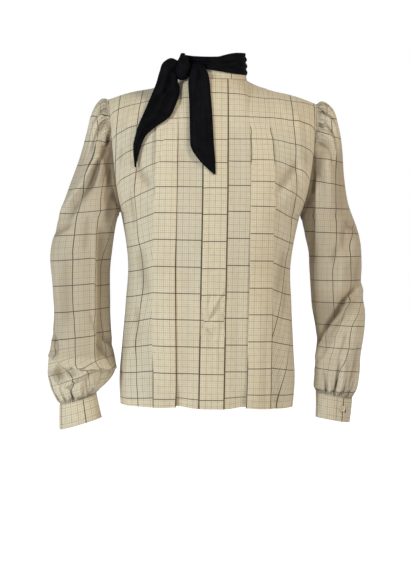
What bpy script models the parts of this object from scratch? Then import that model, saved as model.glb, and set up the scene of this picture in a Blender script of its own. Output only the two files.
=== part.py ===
"""A long-sleeved blouse of checked crepe in its worn form.

It has one box pleat on each front, a centre strip over the fastening, gathered sleeves with buttoned
cuffs, a narrow neckband and a black neck tie. Every piece of cloth is a thin wall with the garment's
true shape, open at neck, hem and cuffs.

Tables are in millimetres and MM turns them into Blender's metres. +Z is up, the fronts face -Y and the
wearer's left is +X. The origin is the middle of the neck, level with the top of the shoulders.
"""
import math

import bmesh
import bpy
import numpy as np

MM = 0.001
SEAM = 0.3  # gap between two pieces where a seam joins them
CLOTH = 1.2  # wall of one layer of crepe
BAND = 2.0  # wall of a doubled band: centre strip, cuffs and neckband
TIE = 1.6  # wall of the doubled tie
FRONT, BACK = -1, 1

# The body's sections. Its depths are to the centre front and the centre back, and above CHEST_Z the
# surface rounds over to the shoulder and neck.
CHEST_Z = -150
UNDERARM_Z = -256
HEM_Z = -636
SHOULDER_Z = -32
DEPTHS = ("z front back", [
    (-636, 128, 113),
    (-518, 127, 110),
    (-428, 126, 106),
    (-358, 126, 105),
    (-262, 127, 110),
    (-205, 124, 112),
    (-150, 112, 109),
])
OUTLINE = ("z half_width", [
    (-636, 172),
    (-588, 175),
    (-518, 171),
    (-428, 165),
    (-358, 162),
    (-308, 168),
    (-272, 175),
    (-200, 191),
    (-136, 199),
    (-98, 203),
    (-60, 206),
    (-32, 208),
])
SHOULDER = ("x z", [
    (66, 12),
    (78, 6),
    (92, 0),
    (107, -4),
    (121, -8),
    (153, -14),
    (178, -21),
    (208, -32),
])
NECK_HALF_WIDTH = 66
NECK_FRONT, NECK_BACK = 68, 58
NECK_Z = 12
BACK_NECK_RISE = 8
ARMHOLE_HALF_DEPTH = 54
ARMHOLE_BOTTOM = 71  # height of the armhole's round bottom
SIDE_CURVE, ARMHOLE_CURVE = 2.2, 1.25  # roundness of a section at the side seam and at the armhole
SECTION_POWER = 2.4

# Box pleats stand on the fronts between two folded edges.
PLEAT_EDGES = (71.5, 118)
UNDERLAY = 16
LAYER_AT_HEM, LAYER_AT_SHOULDER = 2.6, 1.6  # distance between the layers of a fold

# The centre strip, pulled narrow and forward where it strains over a button.
STRIP_HALF_WIDTH = 24
STRIP_STOP = 0.014  # part of the rise to the neckline that the strip stops short of
PINCH_Z, PINCH_HEIGHT, PINCH_IN, PINCH_OUT = -470, 38, 8, 5

# Sleeve sections, each from its outer to its inner point as seen from the front.
SLEEVE_RIGHT = ("outer_x outer_z inner_x inner_z", [
    (223, -39, 182, -260),
    (238, -60, 185, -266),
    (250, -100, 187, -274),
    (264, -152, 189, -284),
    (281, -203, 191, -298),
    (301, -268, 194, -324),
    (317, -336, 198, -370),
    (312, -402, 197, -426),
    (308, -466, 195, -476),
    (313, -520, 190, -524),
    (318, -558, 184, -556),
    (318, -582, 186, -572),
    (310, -610, 199, -592),
    (298, -630, 216, -608),
])
SLEEVE_LEFT = ("outer_x outer_z inner_x inner_z", [
    (222, -32, 182, -260),
    (240, -43, 185, -266),
    (254, -76, 187, -274),
    (263, -123, 190, -285),
    (268, -175, 193, -300),
    (276, -226, 199, -326),
    (301, -296, 203, -368),
    (306, -350, 206, -410),
    (305, -402, 209, -446),
    (314, -448, 215, -478),
    (312, -486, 218, -504),
    (305, -535, 217, -540),
    (303, -572, 214, -577),
    (297, -600, 214, -596),
])
SLEEVE_FORM = ("centre_y half_depth bow gather", [
    (0, 57, 8, 1.6),
    (0, 62, 8, 2.6),
    (0, 66, 5, 1.8),
    (1, 67, 2, 0.8),
    (2, 66, 0, 0),
    (3, 64, 0, 0),
    (3, 62, 0, 0),
    (0, 59, 0, 0),
    (-5, 59, 0, 0),
    (-9, 61, 0, 0),
    (-12, 63, 0, 0.8),
    (-15, 60, 0, 1.8),
    (-18, 51, 0, 2.6),
    (-20, 42, 0, 2.6),
])
CUFF_RIGHT = ("outer_x outer_z inner_x inner_z", [
    (293, -640, 221, -617),
    (292, -688, 210, -662),
])
CUFF_LEFT = ("outer_x outer_z inner_x inner_z", [
    (289, -620, 217, -608),
    (284, -666, 217, -656),
])
CUFF_CENTRE_Y = (-21, -25)
CUFF_HALF_DEPTH = 34
CUFF_LAP_END = {"left": 84, "right": -20}  # degrees round from the cuff's outer side towards the front
CUFF_LAP = 22
CUFF_BUTTON_BACK = 16  # degrees from the lap's end back to the button
BUTTON_RADIUS = 5.5
BUTTON_THICK = 2.4

# Neckband and tie: rings round the neck.
NECKBAND_TOP = 42
NECKBAND_LEAN = 2.5  # how much narrower the neckband is at its top
BAND_BOTTOM = ("turn z", [(0, 27), (30, 23), (60, 22), (180, 27), (300, 24), (330, 31), (360, 27)])
BAND_TOP = ("turn z", [(0, 54), (30, 63), (70, 66), (180, 62), (290, 60), (330, 55), (360, 54)])
TIE_RING = (67.6, 70.6, 60.6)  # half width, front and back of the band's ring
BAND_FOLDS = 2
KNOT_CENTRE = (-62.95, -57.45, 30)
KNOT_RADII = (15.5, 13, 23)
NUB_RISE = 9  # the little peak on top of the knot
TAIL_EASE = 0.6  # how far a tie end stays off the cloth that it lies on
TAIL_OVER_FOLD = 0.7  # more of it where a pleat's folded edges stand up
TAIL_RIPPLES = 2

# Tie ends: the two edges of the band at each step along it, and how far each hangs before the origin.
TAIL_LEFT = ("left_x left_z right_x right_z hang wave", [
    (-47.2, 34, -47.2, 40, 58, 0),
    (-47, 33, -30, 40, 69, 1.5),
    (-50, 20, -17, 25, 75, 2.5),
    (-54, 4, -12, 6, 77, 2.5),
    (-53, -21, -10, -20, 79, 2),
    (-52, -58, -7, -58, 79, 1.5),
    (-51, -97, -5, -97, 79, 1),
    (-48, -127, -3, -124, 79, 0.5),
    (-31, -152, -1, -146, 79, 0),
    (-3, -178, 0, -177, 79, 0),
])
TAIL_RIGHT = ("left_x left_z right_x right_z hang wave", [
    (-78.1, 45, -78.1, 16, 57, 1),
    (-88, 50, -79.5, 8, 58, 3),
    (-102, 43, -78, 0, 58, 4),
    (-110, 24, -76, -10, 58, 4),
    (-116, 2, -76, -24, 60, 3.5),
    (-127, -27, -79, -44, 60, 3),
    (-139, -56, -90, -66, 60, 2),
    (-151, -84, -118, -87, 60, 1.5),
    (-159, -114, -138, -107, 60, 1),
    (-160, -140, -151, -148, 60, 0.5),
    (-157, -165, -155, -167, 60, 0),
])

COLOURS = {  # base colour, roughness
    "crepe": ((0.67, 0.60, 0.43), 0.75),
    "tie": ((0.012, 0.012, 0.016), 0.55),
    "button": ((0.66, 0.58, 0.42), 0.4),
}


def column(table, name):
    """One named column of a table."""
    names, rows = table
    place = names.split().index(name)
    return [row[place] for row in rows]


def along(table, name, at):
    """A table's value at a place in its first column, on a smooth curve through its rows."""
    places = column(table, table[0].split()[0])
    values = column(table, name)
    slopes = np.gradient(values, places)
    if at <= places[0]:
        return values[0]
    if at >= places[-1]:
        return values[-1]
    i = int(np.searchsorted(places, at)) - 1
    step = places[i + 1] - places[i]
    t = (at - places[i]) / step
    return (
        values[i] * (1 + 2 * t) * (1 - t) ** 2
        + slopes[i] * step * t * (1 - t) ** 2
        + values[i + 1] * t * t * (3 - 2 * t)
        + slopes[i + 1] * step * t * t * (t - 1)
    )


def mix(a, b, t):
    return a + (b - a) * t


def ease(t):
    """0 below 0, 1 above 1 and a smooth step between."""
    t = min(1.0, max(0.0, t))
    return t * t * (3 - 2 * t)


# ---- the body's surface ---------------------------------------------------------------------------


def top_z(x, face):
    """Height of the panel's top edge: the neckline, then the shoulder seam."""
    x = abs(x)
    if x < NECK_HALF_WIDTH:
        rise = BACK_NECK_RISE if face == BACK else 0
        return NECK_Z + rise * (1 - (x / NECK_HALF_WIDTH) ** 2)
    return along(SHOULDER, "z", x)


def top_depth(x, face):
    """Distance of the top edge from the shoulder line, which is the neck's half ring."""
    neck = NECK_BACK if face == BACK else NECK_FRONT
    return neck * math.sqrt(max(0.0, 1 - (x / NECK_HALF_WIDTH) ** 2))


def armhole_half_depth(z):
    """Half of the armhole's width at a height of its side, round at the bottom."""
    drop = min(1.0, max(0.0, (UNDERARM_Z + ARMHOLE_BOTTOM - z) / ARMHOLE_BOTTOM))
    return ARMHOLE_HALF_DEPTH * math.sqrt(1 - drop**2) if z > UNDERARM_Z else 0.0


def side_z(rise):
    return mix(CHEST_Z, SHOULDER_Z, rise)


def body_point(x, level, face):
    """A point of the bare body at x on a row.

    A row is a height up to the chest, and above it CHEST_Z plus the fraction of the way to the top.
    """
    rise = max(0.0, level - CHEST_Z)
    flat = side_z(rise) if rise else level
    side = along(OUTLINE, "half_width", flat)
    arm = armhole_half_depth(flat)
    if rise:
        arm = ARMHOLE_HALF_DEPTH
    full = along(DEPTHS, "front" if face == FRONT else "back", flat)
    curve = mix(SIDE_CURVE, ARMHOLE_CURVE, arm / ARMHOLE_HALF_DEPTH)
    inward = 1 - min(1.0, abs(x) / side) ** SECTION_POWER
    depth = mix(arm, full, max(0.0, inward) ** (1 / curve))
    if not rise:
        return np.array((x, face * depth, level))
    power = mix(1.35, 2.0, ease((abs(x) - 20) / 60))
    sunk = max(0.0, 1 - rise**power) ** (1 / power)
    top = top_depth(x, face)
    z = mix(CHEST_Z, top_z(x, face), rise)
    return np.array((x, face * mix(top, depth, sunk), z))


def body_normal(x, level, face):
    step = 0.5 if level < CHEST_Z else 0.004
    across = body_point(x + 0.5, level, face) - body_point(x - 0.5, level, face)
    up = body_point(x, level, face) - body_point(x, level - step, face)
    normal = np.cross(across, up)
    normal /= np.linalg.norm(normal)
    return normal if normal[1] * face > 0 else -normal


def front_depth(x, z, lift):
    """Depth, at a place seen from the front, of a surface that lies lift outside the front."""
    level = z
    if z > CHEST_Z:
        level = CHEST_Z + min(0.97, (z - CHEST_Z) / (top_z(x, FRONT) - CHEST_Z))
    slant = max(0.6, abs(body_normal(x, level, FRONT)[1]))
    return abs(body_point(x, level, FRONT)[1]) + lift / slant


def row_levels():
    """Rows shared by fronts and back, so that their seams meet point to point."""
    skirt = [HEM_Z, HEM_Z + 16, -560, -500, -440, -380, -320]
    round_bottom = [UNDERARM_Z + ARMHOLE_BOTTOM * (1 - math.cos(math.radians(a))) for a in (0, 25, 48, 70, 90)]
    shoulder = [CHEST_Z + math.sin(math.radians(a)) for a in (15, 30, 45, 60, 75, 90)]
    return skirt + round_bottom + [CHEST_Z] + shoulder


LEVELS = row_levels()
UNDERARM_ROW = 7


def row_side(level):
    """Half width of the body on a row, where the panel ends at the side seam or the armhole."""
    rise = max(0.0, level - CHEST_Z)
    return along(OUTLINE, "half_width", side_z(rise) if rise else level)


def outward(start, end, count):
    """Places from start to end that close up towards the end, where the body turns away."""
    return [end - (end - start) * (1 - (i + 1) / count) ** 2 for i in range(count)]


def layer_gap(level):
    if level > CHEST_Z:
        return LAYER_AT_SHOULDER
    return mix(LAYER_AT_SHOULDER, LAYER_AT_HEM, ease((CHEST_Z + 70 - level) / 150))


def folded_edge(edge, way, level):
    """Places and offsets across a pleat's edge, from the base layer up to the top layer."""
    gap = layer_gap(level)
    path = [
        (-2, 0),
        (2, 0),
        (UNDERLAY, 0),
        (UNDERLAY + gap / 2, gap / 2),
        (UNDERLAY, gap),
        (gap / 2, gap),
        (0, 1.5 * gap),
        (gap / 2, 2 * gap),
    ]
    return [(edge + way * x, lift) for x, lift in path]


def front_columns(level):
    """Places and offsets across one front, from the centre to the side."""
    inner, outer = PLEAT_EDGES
    height = 2 * layer_gap(level)
    columns = [(x, 0) for x in (SEAM / 2, 13, 25, 38, 50, 58, 63, NECK_HALF_WIDTH)]
    columns += folded_edge(inner, 1, level)
    columns += [(x, height) for x in (mix(inner, outer, 0.3), mix(inner, outer, 0.7))]
    columns += folded_edge(outer, -1, level)[::-1]
    columns += [(x, 0) for x in (132, 146)]
    columns += [(x, 0) for x in outward(146, row_side(level), 5)]
    return columns


def seamed(point, face):
    """Keeps a panel's side and shoulder edges half a seam gap from the other panel."""
    point[1] = face * max(abs(point[1]), SEAM / 2)
    return point


def front_grid():
    grid = []
    for level in LEVELS:
        row = []
        for x, lift in front_columns(level):
            point = body_point(x, level, FRONT)
            if lift:
                point = point + body_normal(x, level, FRONT) * lift
            row.append(seamed(point, FRONT))
        grid.append(row)
    return np.array(grid)


def back_grid():
    grid = []
    for level in LEVELS:
        half = [30, 54, NECK_HALF_WIDTH, 95, 125] + outward(125, row_side(level), 4)
        places = [-x for x in half[::-1]] + [0] + half
        grid.append([seamed(body_point(x, level, BACK), BACK) for x in places])
    return np.array(grid)


def strip_grid():
    """The centre strip lies on the fronts, from neckline to hem."""
    lift = CLOTH / 2 + SEAM + BAND / 2
    pinch_rows = [PINCH_Z + PINCH_HEIGHT * t for t in (-1, -0.5, 0, 0.5, 1)]
    levels = sorted(set(LEVELS[:-1] + pinch_rows)) + [LEVELS[-1] - STRIP_STOP]
    grid = []
    for level in levels:
        pinch = 1 - ease(abs(level - PINCH_Z) / (PINCH_HEIGHT * 1.2))
        half = STRIP_HALF_WIDTH - PINCH_IN * pinch
        row = []
        for t in (-1, -0.6, -0.2, 0.2, 0.6, 1):
            x = t * half
            bulge = PINCH_OUT * pinch * (1 - t * t)
            row.append(body_point(x, level, FRONT) + body_normal(x, level, FRONT) * (lift + bulge))
        grid.append(row)
    return np.array(grid)


# ---- sleeves and cuffs ----------------------------------------------------------------------------

CAP_SPLITS, BOTTOM_SPLITS = 3, 1


def armhole_ring():
    """The armhole from the shoulder down the front, past the underarm and up the back."""
    rows = range(UNDERARM_ROW, len(LEVELS))
    front = [seamed(body_point(row_side(LEVELS[i]), LEVELS[i], FRONT), FRONT) for i in rows][::-1]
    shoulder, underarm = front[0] * (1, 0, 1), front[-1] * (1, 0, 1)
    down = [shoulder] + front[1:-1] + [underarm]
    ring = []
    for k in range(len(down) - 1):
        splits = CAP_SPLITS if LEVELS[rows[-1] - k] > CHEST_Z else BOTTOM_SPLITS
        ring += [mix(down[k], down[k + 1], s / splits) for s in range(splits)]
    ring.append(underarm)
    return ring + [point * (1, -1, 1) for point in ring[-2:0:-1]]


def ring_turn(ring):
    """Angle of each armhole point round the ring's middle, 0 at the shoulder and growing to the front."""
    middle = (ring[0] + ring[len(ring) // 2]) / 2
    reach = (ring[0][2] - ring[len(ring) // 2][2]) / 2
    turns = [math.atan2(-(p[1]) / ARMHOLE_HALF_DEPTH, (p[2] - middle[2]) / reach) for p in ring]
    return [t % (2 * math.pi) for t in turns]


def section_point(outer, inner, centre_y, half_depth, turn, stretch=0.0):
    """A point of a sleeve's oval section; stretch moves it out from the middle."""
    middle = (outer + inner) / 2
    half = (outer - inner) / 2
    reach = 1 + stretch / np.linalg.norm(half)
    across = middle + half * math.cos(turn) * reach
    return np.array((across[0], centre_y - (half_depth + stretch) * math.sin(turn), across[1]))


def ends(table, i):
    """A section's outer and inner points in the front view."""
    outer = np.array((column(table, "outer_x")[i], column(table, "outer_z")[i]), float)
    inner = np.array((column(table, "inner_x")[i], column(table, "inner_z")[i]), float)
    return outer, inner


def sleeve_grid(sections, cuff):
    ring = armhole_ring()
    turns = ring_turn(ring)
    count = len(ring)
    even = [2 * math.pi * k / count for k in range(count)]
    seam_step = SEAM + CLOTH / 2
    grid = [
        [point + (seam_step, 0, 0) for point in ring],
        [point + (seam_step + 2.5, 0, 0) for point in ring],
    ]
    rows = len(sections[1])
    for i in range(rows):
        outer, inner = ends(sections, i)
        centre_y = column(SLEEVE_FORM, "centre_y")[i]
        half_depth = column(SLEEVE_FORM, "half_depth")[i]
        bow = column(SLEEVE_FORM, "bow")[i]
        gather = column(SLEEVE_FORM, "gather")[i]
        spread = ease(i / (rows - 3))
        row = []
        for k in range(count):
            turn = mix(turns[k], even[k], spread)
            on_cap = 0.5 + 0.5 * math.cos(turn) if i < rows / 2 else 1
            wave = gather * on_cap * (1 if k % 2 else -1)
            point = section_point(outer, inner, centre_y, half_depth, turn, wave)
            row.append(point + (bow * math.sin(turn) ** 2, 0, 0))
        grid.append(row)
    outer, inner = ends(cuff, 0)
    low_outer, low_inner = ends(cuff, 1)
    up = (outer + inner - low_outer - low_inner) / 2
    up /= np.linalg.norm(up)
    for height, wave in ((4.0, 0.8), (SEAM, 0.3)):
        row = []
        for k in range(count):
            swing = wave * (1 if k % 2 else -1)
            row.append(section_point(outer + up * height, inner + up * height, CUFF_CENTRE_Y[0],
                                     CUFF_HALF_DEPTH, even[k], swing))
        grid.append(row)
    return np.array(grid)


def cuff_point(cuff, down, turn, lift):
    """A point of a cuff: down from 0 at its top to 1 at its bottom, turn in degrees."""
    top, bottom = ends(cuff, 0), ends(cuff, 1)
    outer = mix(top[0], bottom[0], down)
    inner = mix(top[1], bottom[1], down)
    centre_y = mix(*CUFF_CENTRE_Y, down)
    return section_point(outer, inner, centre_y, CUFF_HALF_DEPTH, math.radians(turn), lift)


def cuff_grid(cuff, lap_end):
    """A doubled band whose end laps over its start."""
    start = lap_end - CUFF_LAP - 360
    count = 30
    grid = []
    for k in range(count + 1):
        turn = mix(start, lap_end, k / count)
        lift = (BAND + SEAM + 0.1) * ease((turn - lap_end + CUFF_LAP + 20) / 18)
        grid.append([cuff_point(cuff, down, turn, lift) for down in (0, 0.5, 1)])
    return np.array(grid)


def button(name, cuff, turn, mirror):
    """A turned button with a raised rim on the cuff's lap."""
    lift = BAND + SEAM + 0.1 + BAND / 2 + SEAM
    down = 0.45
    around = cuff_point(cuff, down, turn + 1, 0) - cuff_point(cuff, down, turn - 1, 0)
    axis = np.cross(cuff_point(cuff, 0, turn, 0) - cuff_point(cuff, 1, turn, 0), around)
    axis /= np.linalg.norm(axis)
    out = cuff_point(cuff, down, turn, 1) - cuff_point(cuff, down, turn, 0)
    axis = axis if axis @ out > 0 else -axis
    seat = cuff_point(cuff, down, turn, 0) + axis * lift
    along_up = np.cross(axis, (0, 1, 0))
    along_up /= np.linalg.norm(along_up)
    side = np.cross(axis, along_up)
    profile = [(0.7, 0), (1, 0.25), (1, 0.75), (0.88, 1), (0.7, 0.7)]
    sides = 20
    rings = []
    for radius, height in profile:
        ring = []
        for k in range(sides):
            a = 2 * math.pi * k / sides
            out = along_up * math.cos(a) + side * math.sin(a)
            ring.append(seat + out * radius * BUTTON_RADIUS + axis * height * BUTTON_THICK)
        rings.append(ring)
    return lofted(name, np.array(rings), "button", mirror)


# ---- neckband and tie -----------------------------------------------------------------------------


def neckband_grid():
    """A stand collar, open at the centre front."""
    count = 32
    gap = math.degrees(SEAM / NECK_FRONT)
    bottom = NECK_Z + CLOTH / 2 + SEAM
    grid = []
    for k in range(count + 1):
        turn = math.radians(mix(gap, 360 - gap, k / count))
        behind = 0.5 - 0.5 * math.cos(turn)
        depth = mix(NECK_FRONT, NECK_BACK, ease(behind))
        column_points = []
        for t in (0, 0.5, 1):
            lean = NECKBAND_LEAN * t
            z = mix(bottom + BACK_NECK_RISE * behind**2, NECKBAND_TOP + 4 * behind, t)
            x = (NECK_HALF_WIDTH - lean) * math.sin(turn)
            column_points.append((x, -(depth - lean * 0.6) * math.cos(turn), z))
        grid.append(column_points)
    return np.array(grid)


def tie_band_grid():
    """The stretch of the tie round the neckband, with soft folds along it."""
    count = 32
    half_width, front, back = TIE_RING
    steps = 6
    grid = []
    for k in range(count):
        degrees = 360 * k / count
        turn = math.radians(degrees)
        depth = mix(front, back, ease(0.5 - 0.5 * math.cos(turn)))
        low = along(BAND_BOTTOM, "z", degrees)
        high = along(BAND_TOP, "z", degrees)
        points = []
        for s in range(steps + 1):
            t = s / steps
            fold = 1.1 * math.cos(2 * math.pi * BAND_FOLDS * t)
            tuck = -3.5 * t**2
            out = fold + tuck
            points.append(((half_width + out) * math.sin(turn), -(depth + out) * math.cos(turn), mix(low, high, t)))
        grid.append(points)
    return np.array(grid)


def knot(name):
    """A soft lump with creases running over it and a little peak on top."""
    around, up = 16, 9
    centre = np.array(KNOT_CENTRE, float)
    rings = []
    for j in range(1, up):
        lift = math.pi * j / up
        ring = []
        for k in range(around):
            turn = 2 * math.pi * k / around
            crease = 1 + 0.05 * math.cos(4 * turn + 2 * lift)
            x, y, z = (radius * crease for radius in KNOT_RADII)
            ring.append(centre + (x * math.sin(lift) * math.cos(turn), y * math.sin(lift) * math.sin(turn),
                                  -z * math.cos(lift)))
        rings.append(ring)
    rings.append([centre + (2 * math.cos(a), 2 * math.sin(a), KNOT_RADII[2] + NUB_RISE)
                  for a in (2 * math.pi * k / around for k in range(around))])
    return lofted(name, np.array(rings), "tie", False)


def tail_grid(table, on_strip):
    """A tie end that hangs from the knot and lies on the fronts, over the strip or over a pleat."""
    steps = 6
    grid = []
    for left_x, left_z, right_x, right_z, hang, wave in table[1]:
        row = []
        for s in range(steps + 1):
            t = s / steps
            x, z = mix(left_x, right_x, t), mix(left_z, right_z, t)
            stack = BAND + SEAM if on_strip else 2 * layer_gap(z) + TAIL_OVER_FOLD
            lie = CLOTH / 2 + stack + TAIL_EASE + TIE / 2
            under = front_depth(x, z, lie) if z < top_z(x, FRONT) - 3 else 0
            row.append((x, -max(hang, under) - wave * math.sin(math.pi * TAIL_RIPPLES * t) ** 2, z))
        grid.append(row)
    return np.array(grid)


# ---- meshes ---------------------------------------------------------------------------------------


def material(kind, name):
    colour, roughness = COLOURS[kind]
    made = bpy.data.materials.new(name)
    made.use_nodes = True
    shader = made.node_tree.nodes["Principled BSDF"]
    shader.inputs["Base Color"].default_value = (*colour, 1)
    shader.inputs["Roughness"].default_value = roughness
    shader.inputs["Metallic"].default_value = 0
    return made


def add_object(name, points, faces, kind, mirror):
    points = np.asarray(points, float) * MM
    if mirror:
        points = points * (-1, 1, 1)
    mesh = bpy.data.meshes.new(name)
    mesh.from_pydata([tuple(p) for p in points], [], faces)
    made = bmesh.new()
    made.from_mesh(mesh)
    if made.calc_volume(signed=True) < 0:
        bmesh.ops.reverse_faces(made, faces=made.faces)
    made.to_mesh(mesh)
    made.free()
    mesh.shade_smooth()
    mesh.set_sharp_from_angle(angle=math.radians(50))
    mesh.materials.append(material(kind, name))
    placed = bpy.data.objects.new(name, mesh)
    bpy.context.collection.objects.link(placed)
    return placed


def wall(name, grid, thickness, kind, mirror=False, closed=False, seamed_at_y0=False):
    """A wall of even thickness on both sides of a grid; closed joins each row's end to its start.

    Both sides share each quad's diagonal, so that a twisted quad keeps its thickness.
    """
    rows, columns = grid.shape[:2]
    if closed:
        across = np.roll(grid, -1, axis=1) - np.roll(grid, 1, axis=1)
    else:
        across = np.gradient(grid, axis=1)
    up = np.gradient(grid, axis=0)
    normals = np.cross(across, up)
    if seamed_at_y0:
        normals[np.abs(grid[..., 1]) < SEAM, 1] = 0
    normals /= np.linalg.norm(normals, axis=2, keepdims=True)
    outer = grid + normals * thickness / 2
    inner = grid - normals * thickness / 2
    points = np.concatenate((outer.reshape(-1, 3), inner.reshape(-1, 3)))
    deep = rows * columns
    faces = []
    spans = columns if closed else columns - 1
    for i in range(rows - 1):
        for j in range(spans):
            k = (j + 1) % columns
            a, b = i * columns + j, i * columns + k
            c, d = b + columns, a + columns
            faces += [(a, b, c), (a, c, d)]
            faces += [(c + deep, b + deep, a + deep), (d + deep, c + deep, a + deep)]
    for j in range(spans):
        k = (j + 1) % columns
        faces.append((j + deep, k + deep, k, j))
        last = (rows - 1) * columns
        faces.append((last + j, last + k, last + k + deep, last + j + deep))
    if not closed:
        for i in range(rows - 1):
            a, d = i * columns, (i + 1) * columns
            faces.append((a, d, d + deep, a + deep))
            b, c = a + columns - 1, d + columns - 1
            faces.append((b + deep, c + deep, c, b))
    return add_object(name, points, faces, kind, mirror)


def lofted(name, rings, kind, mirror):
    """A closed solid through rings, with a flat cap on each end."""
    count, sides = rings.shape[:2]
    faces = [tuple(range(sides))[::-1], tuple(range((count - 1) * sides, count * sides))]
    for i in range(count - 1):
        for j in range(sides):
            k = (j + 1) % sides
            a, b = i * sides + j, i * sides + k
            faces.append((a, b, b + sides, a + sides))
    return add_object(name, rings.reshape(-1, 3), faces, kind, mirror)


def build():
    for old in list(bpy.data.objects):
        bpy.data.objects.remove(old)
    fronts = front_grid()
    wall("front_left", fronts, CLOTH, "crepe", seamed_at_y0=True)
    wall("front_right", fronts, CLOTH, "crepe", mirror=True, seamed_at_y0=True)
    wall("back", back_grid(), CLOTH, "crepe", seamed_at_y0=True)
    wall("placket", strip_grid(), BAND, "crepe")
    for side, sections, cuff, mirror in (
        ("left", SLEEVE_LEFT, CUFF_LEFT, False),
        ("right", SLEEVE_RIGHT, CUFF_RIGHT, True),
    ):
        wall("sleeve_" + side, sleeve_grid(sections, cuff), CLOTH, "crepe", mirror, closed=True)
        lap_end = CUFF_LAP_END[side]
        wall("cuff_" + side, cuff_grid(cuff, lap_end), BAND, "crepe", mirror)
        button("cuff_button_" + side, cuff, lap_end - CUFF_BUTTON_BACK, mirror)
    wall("neckband", neckband_grid(), BAND, "crepe")
    wall("tie_band", tie_band_grid().transpose(1, 0, 2), TIE, "tie", closed=True)
    knot("tie_knot")
    wall("tie_tail_left", tail_grid(TAIL_LEFT, True), TIE, "tie")
    wall("tie_tail_right", tail_grid(TAIL_RIGHT, False), TIE, "tie")


build()
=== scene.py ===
"""A blouse of checked crepe with pleated fronts, gathered sleeves and a black neck tie, in its worn form.

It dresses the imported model, piece for piece. Sizes are in millimetres and MM turns them into Blender's
metres. +Z is up, the fronts face -Y, the wearer's left is +X and the origin is the middle of the neck.
"""
import math

import bpy
import numpy as np
from mathutils import Matrix, Vector


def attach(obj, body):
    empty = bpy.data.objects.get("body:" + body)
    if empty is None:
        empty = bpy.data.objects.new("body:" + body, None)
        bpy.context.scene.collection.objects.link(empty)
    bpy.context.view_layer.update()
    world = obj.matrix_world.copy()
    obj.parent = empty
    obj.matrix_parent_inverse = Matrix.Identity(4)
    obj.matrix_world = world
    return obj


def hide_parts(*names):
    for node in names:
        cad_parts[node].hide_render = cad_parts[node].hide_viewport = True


MM = 0.001
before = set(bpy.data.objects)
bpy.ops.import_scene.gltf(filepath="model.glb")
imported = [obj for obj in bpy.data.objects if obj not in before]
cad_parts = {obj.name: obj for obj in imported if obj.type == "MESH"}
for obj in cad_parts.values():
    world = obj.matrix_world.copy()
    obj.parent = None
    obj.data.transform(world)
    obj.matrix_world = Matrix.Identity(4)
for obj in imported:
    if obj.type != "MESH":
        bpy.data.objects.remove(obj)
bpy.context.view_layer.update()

# ---- camera ------------------------------------------------------------------------------------------
# A long lens at the height of the chest, a little to the wearer's right of straight ahead. A shift of the
# lens brings the neck to its place in the picture.

FRAME_SIZE = (410, 563)  # pixels
NECK_PIXEL = (212.7, 86)  # where the origin is seen
METRES_A_PIXEL = 0.002
CAMERA_DISTANCE, CAMERA_Z = 5.0, -0.22
CAMERA_TURN, CAMERA_ROLL = math.radians(-4.2), math.radians(1.1)
SENSOR = 24

ahead = Vector((-math.sin(CAMERA_TURN), math.cos(CAMERA_TURN), 0))
aside = Vector((math.cos(CAMERA_TURN), math.sin(CAMERA_TURN), 0))
place = Vector((0, 0, CAMERA_Z)) - ahead * CAMERA_DISTANCE
lens = bpy.data.cameras.new("camera")
lens.sensor_fit = "VERTICAL"
lens.sensor_height = SENSOR
lens.lens = SENSOR * CAMERA_DISTANCE / (FRAME_SIZE[1] * METRES_A_PIXEL)
neck_down = CAMERA_Z / METRES_A_PIXEL
unshifted = (-neck_down * math.sin(CAMERA_ROLL), neck_down * math.cos(CAMERA_ROLL))
wanted = (NECK_PIXEL[0] - FRAME_SIZE[0] / 2, NECK_PIXEL[1] - FRAME_SIZE[1] / 2)
lens.shift_x = (unshifted[0] - wanted[0]) / FRAME_SIZE[1]
lens.shift_y = (wanted[1] - unshifted[1]) / FRAME_SIZE[1]
camera = bpy.data.objects.new("camera", lens)
turned = Matrix((aside, (0, 0, 1), -ahead)).transposed().to_4x4()
camera.matrix_world = Matrix.Translation(place) @ turned @ Matrix.Rotation(CAMERA_ROLL, 4, "Z")
bpy.context.collection.objects.link(camera)
bpy.context.scene.camera = camera

# ---- floor and light ---------------------------------------------------------------------------------
# A plain pale floor as far below as a wearer's feet, a pale room and three soft round lamps. Floor and
# room look white to the camera but give the blouse only a part of that light.

FLOOR_Z = -1.42
ROOM_LIGHT = 0.17
FLOOR_LIGHT = 0.25
LAMPS = (  # name, place, size in metres, watts, colour
    ("key", (-2.9, -2.3, 0.5), 1.0, 79, (0.95, 1.0, 1.0)),
    ("warm", (1.8, -1.5, 1.5), 0.8, 43, (1.0, 0.90, 0.74)),
    ("back", (0.6, 3.4, 1.9), 2.6, 26, (1.0, 0.98, 0.94)),
)
LAMPS_AIM = (0, 0, -0.3)


def new_material(name):
    made = bpy.data.materials.new(name)
    made.use_nodes = True
    return made


def white_when_seen(tree, socket, otherwise):
    """Feeds a socket 1 where the camera looks straight at it, and another amount of light elsewhere."""
    rays = tree.nodes.new("ShaderNodeLightPath")
    light = tree.nodes.new("ShaderNodeMapRange")
    light.inputs["To Min"].default_value = otherwise
    tree.links.new(rays.outputs["Is Camera Ray"], light.inputs["Value"])
    tree.links.new(light.outputs["Result"], socket)


bpy.ops.mesh.primitive_circle_add(vertices=64, radius=22, fill_type="NGON", location=(0, 0, FLOOR_Z))
floor = bpy.context.object
floor.name = "floor"
pale = new_material("pale floor")
floor_shader = pale.node_tree.nodes["Principled BSDF"]
floor_shader.inputs["Base Color"].default_value = (0.9, 0.9, 0.9, 1)
floor_shader.inputs["Roughness"].default_value = 0.9
floor_shader.inputs["Emission Strength"].default_value = 1.0
white_when_seen(pale.node_tree, floor_shader.inputs["Emission Color"], FLOOR_LIGHT)
floor.data.materials.append(pale)

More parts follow.
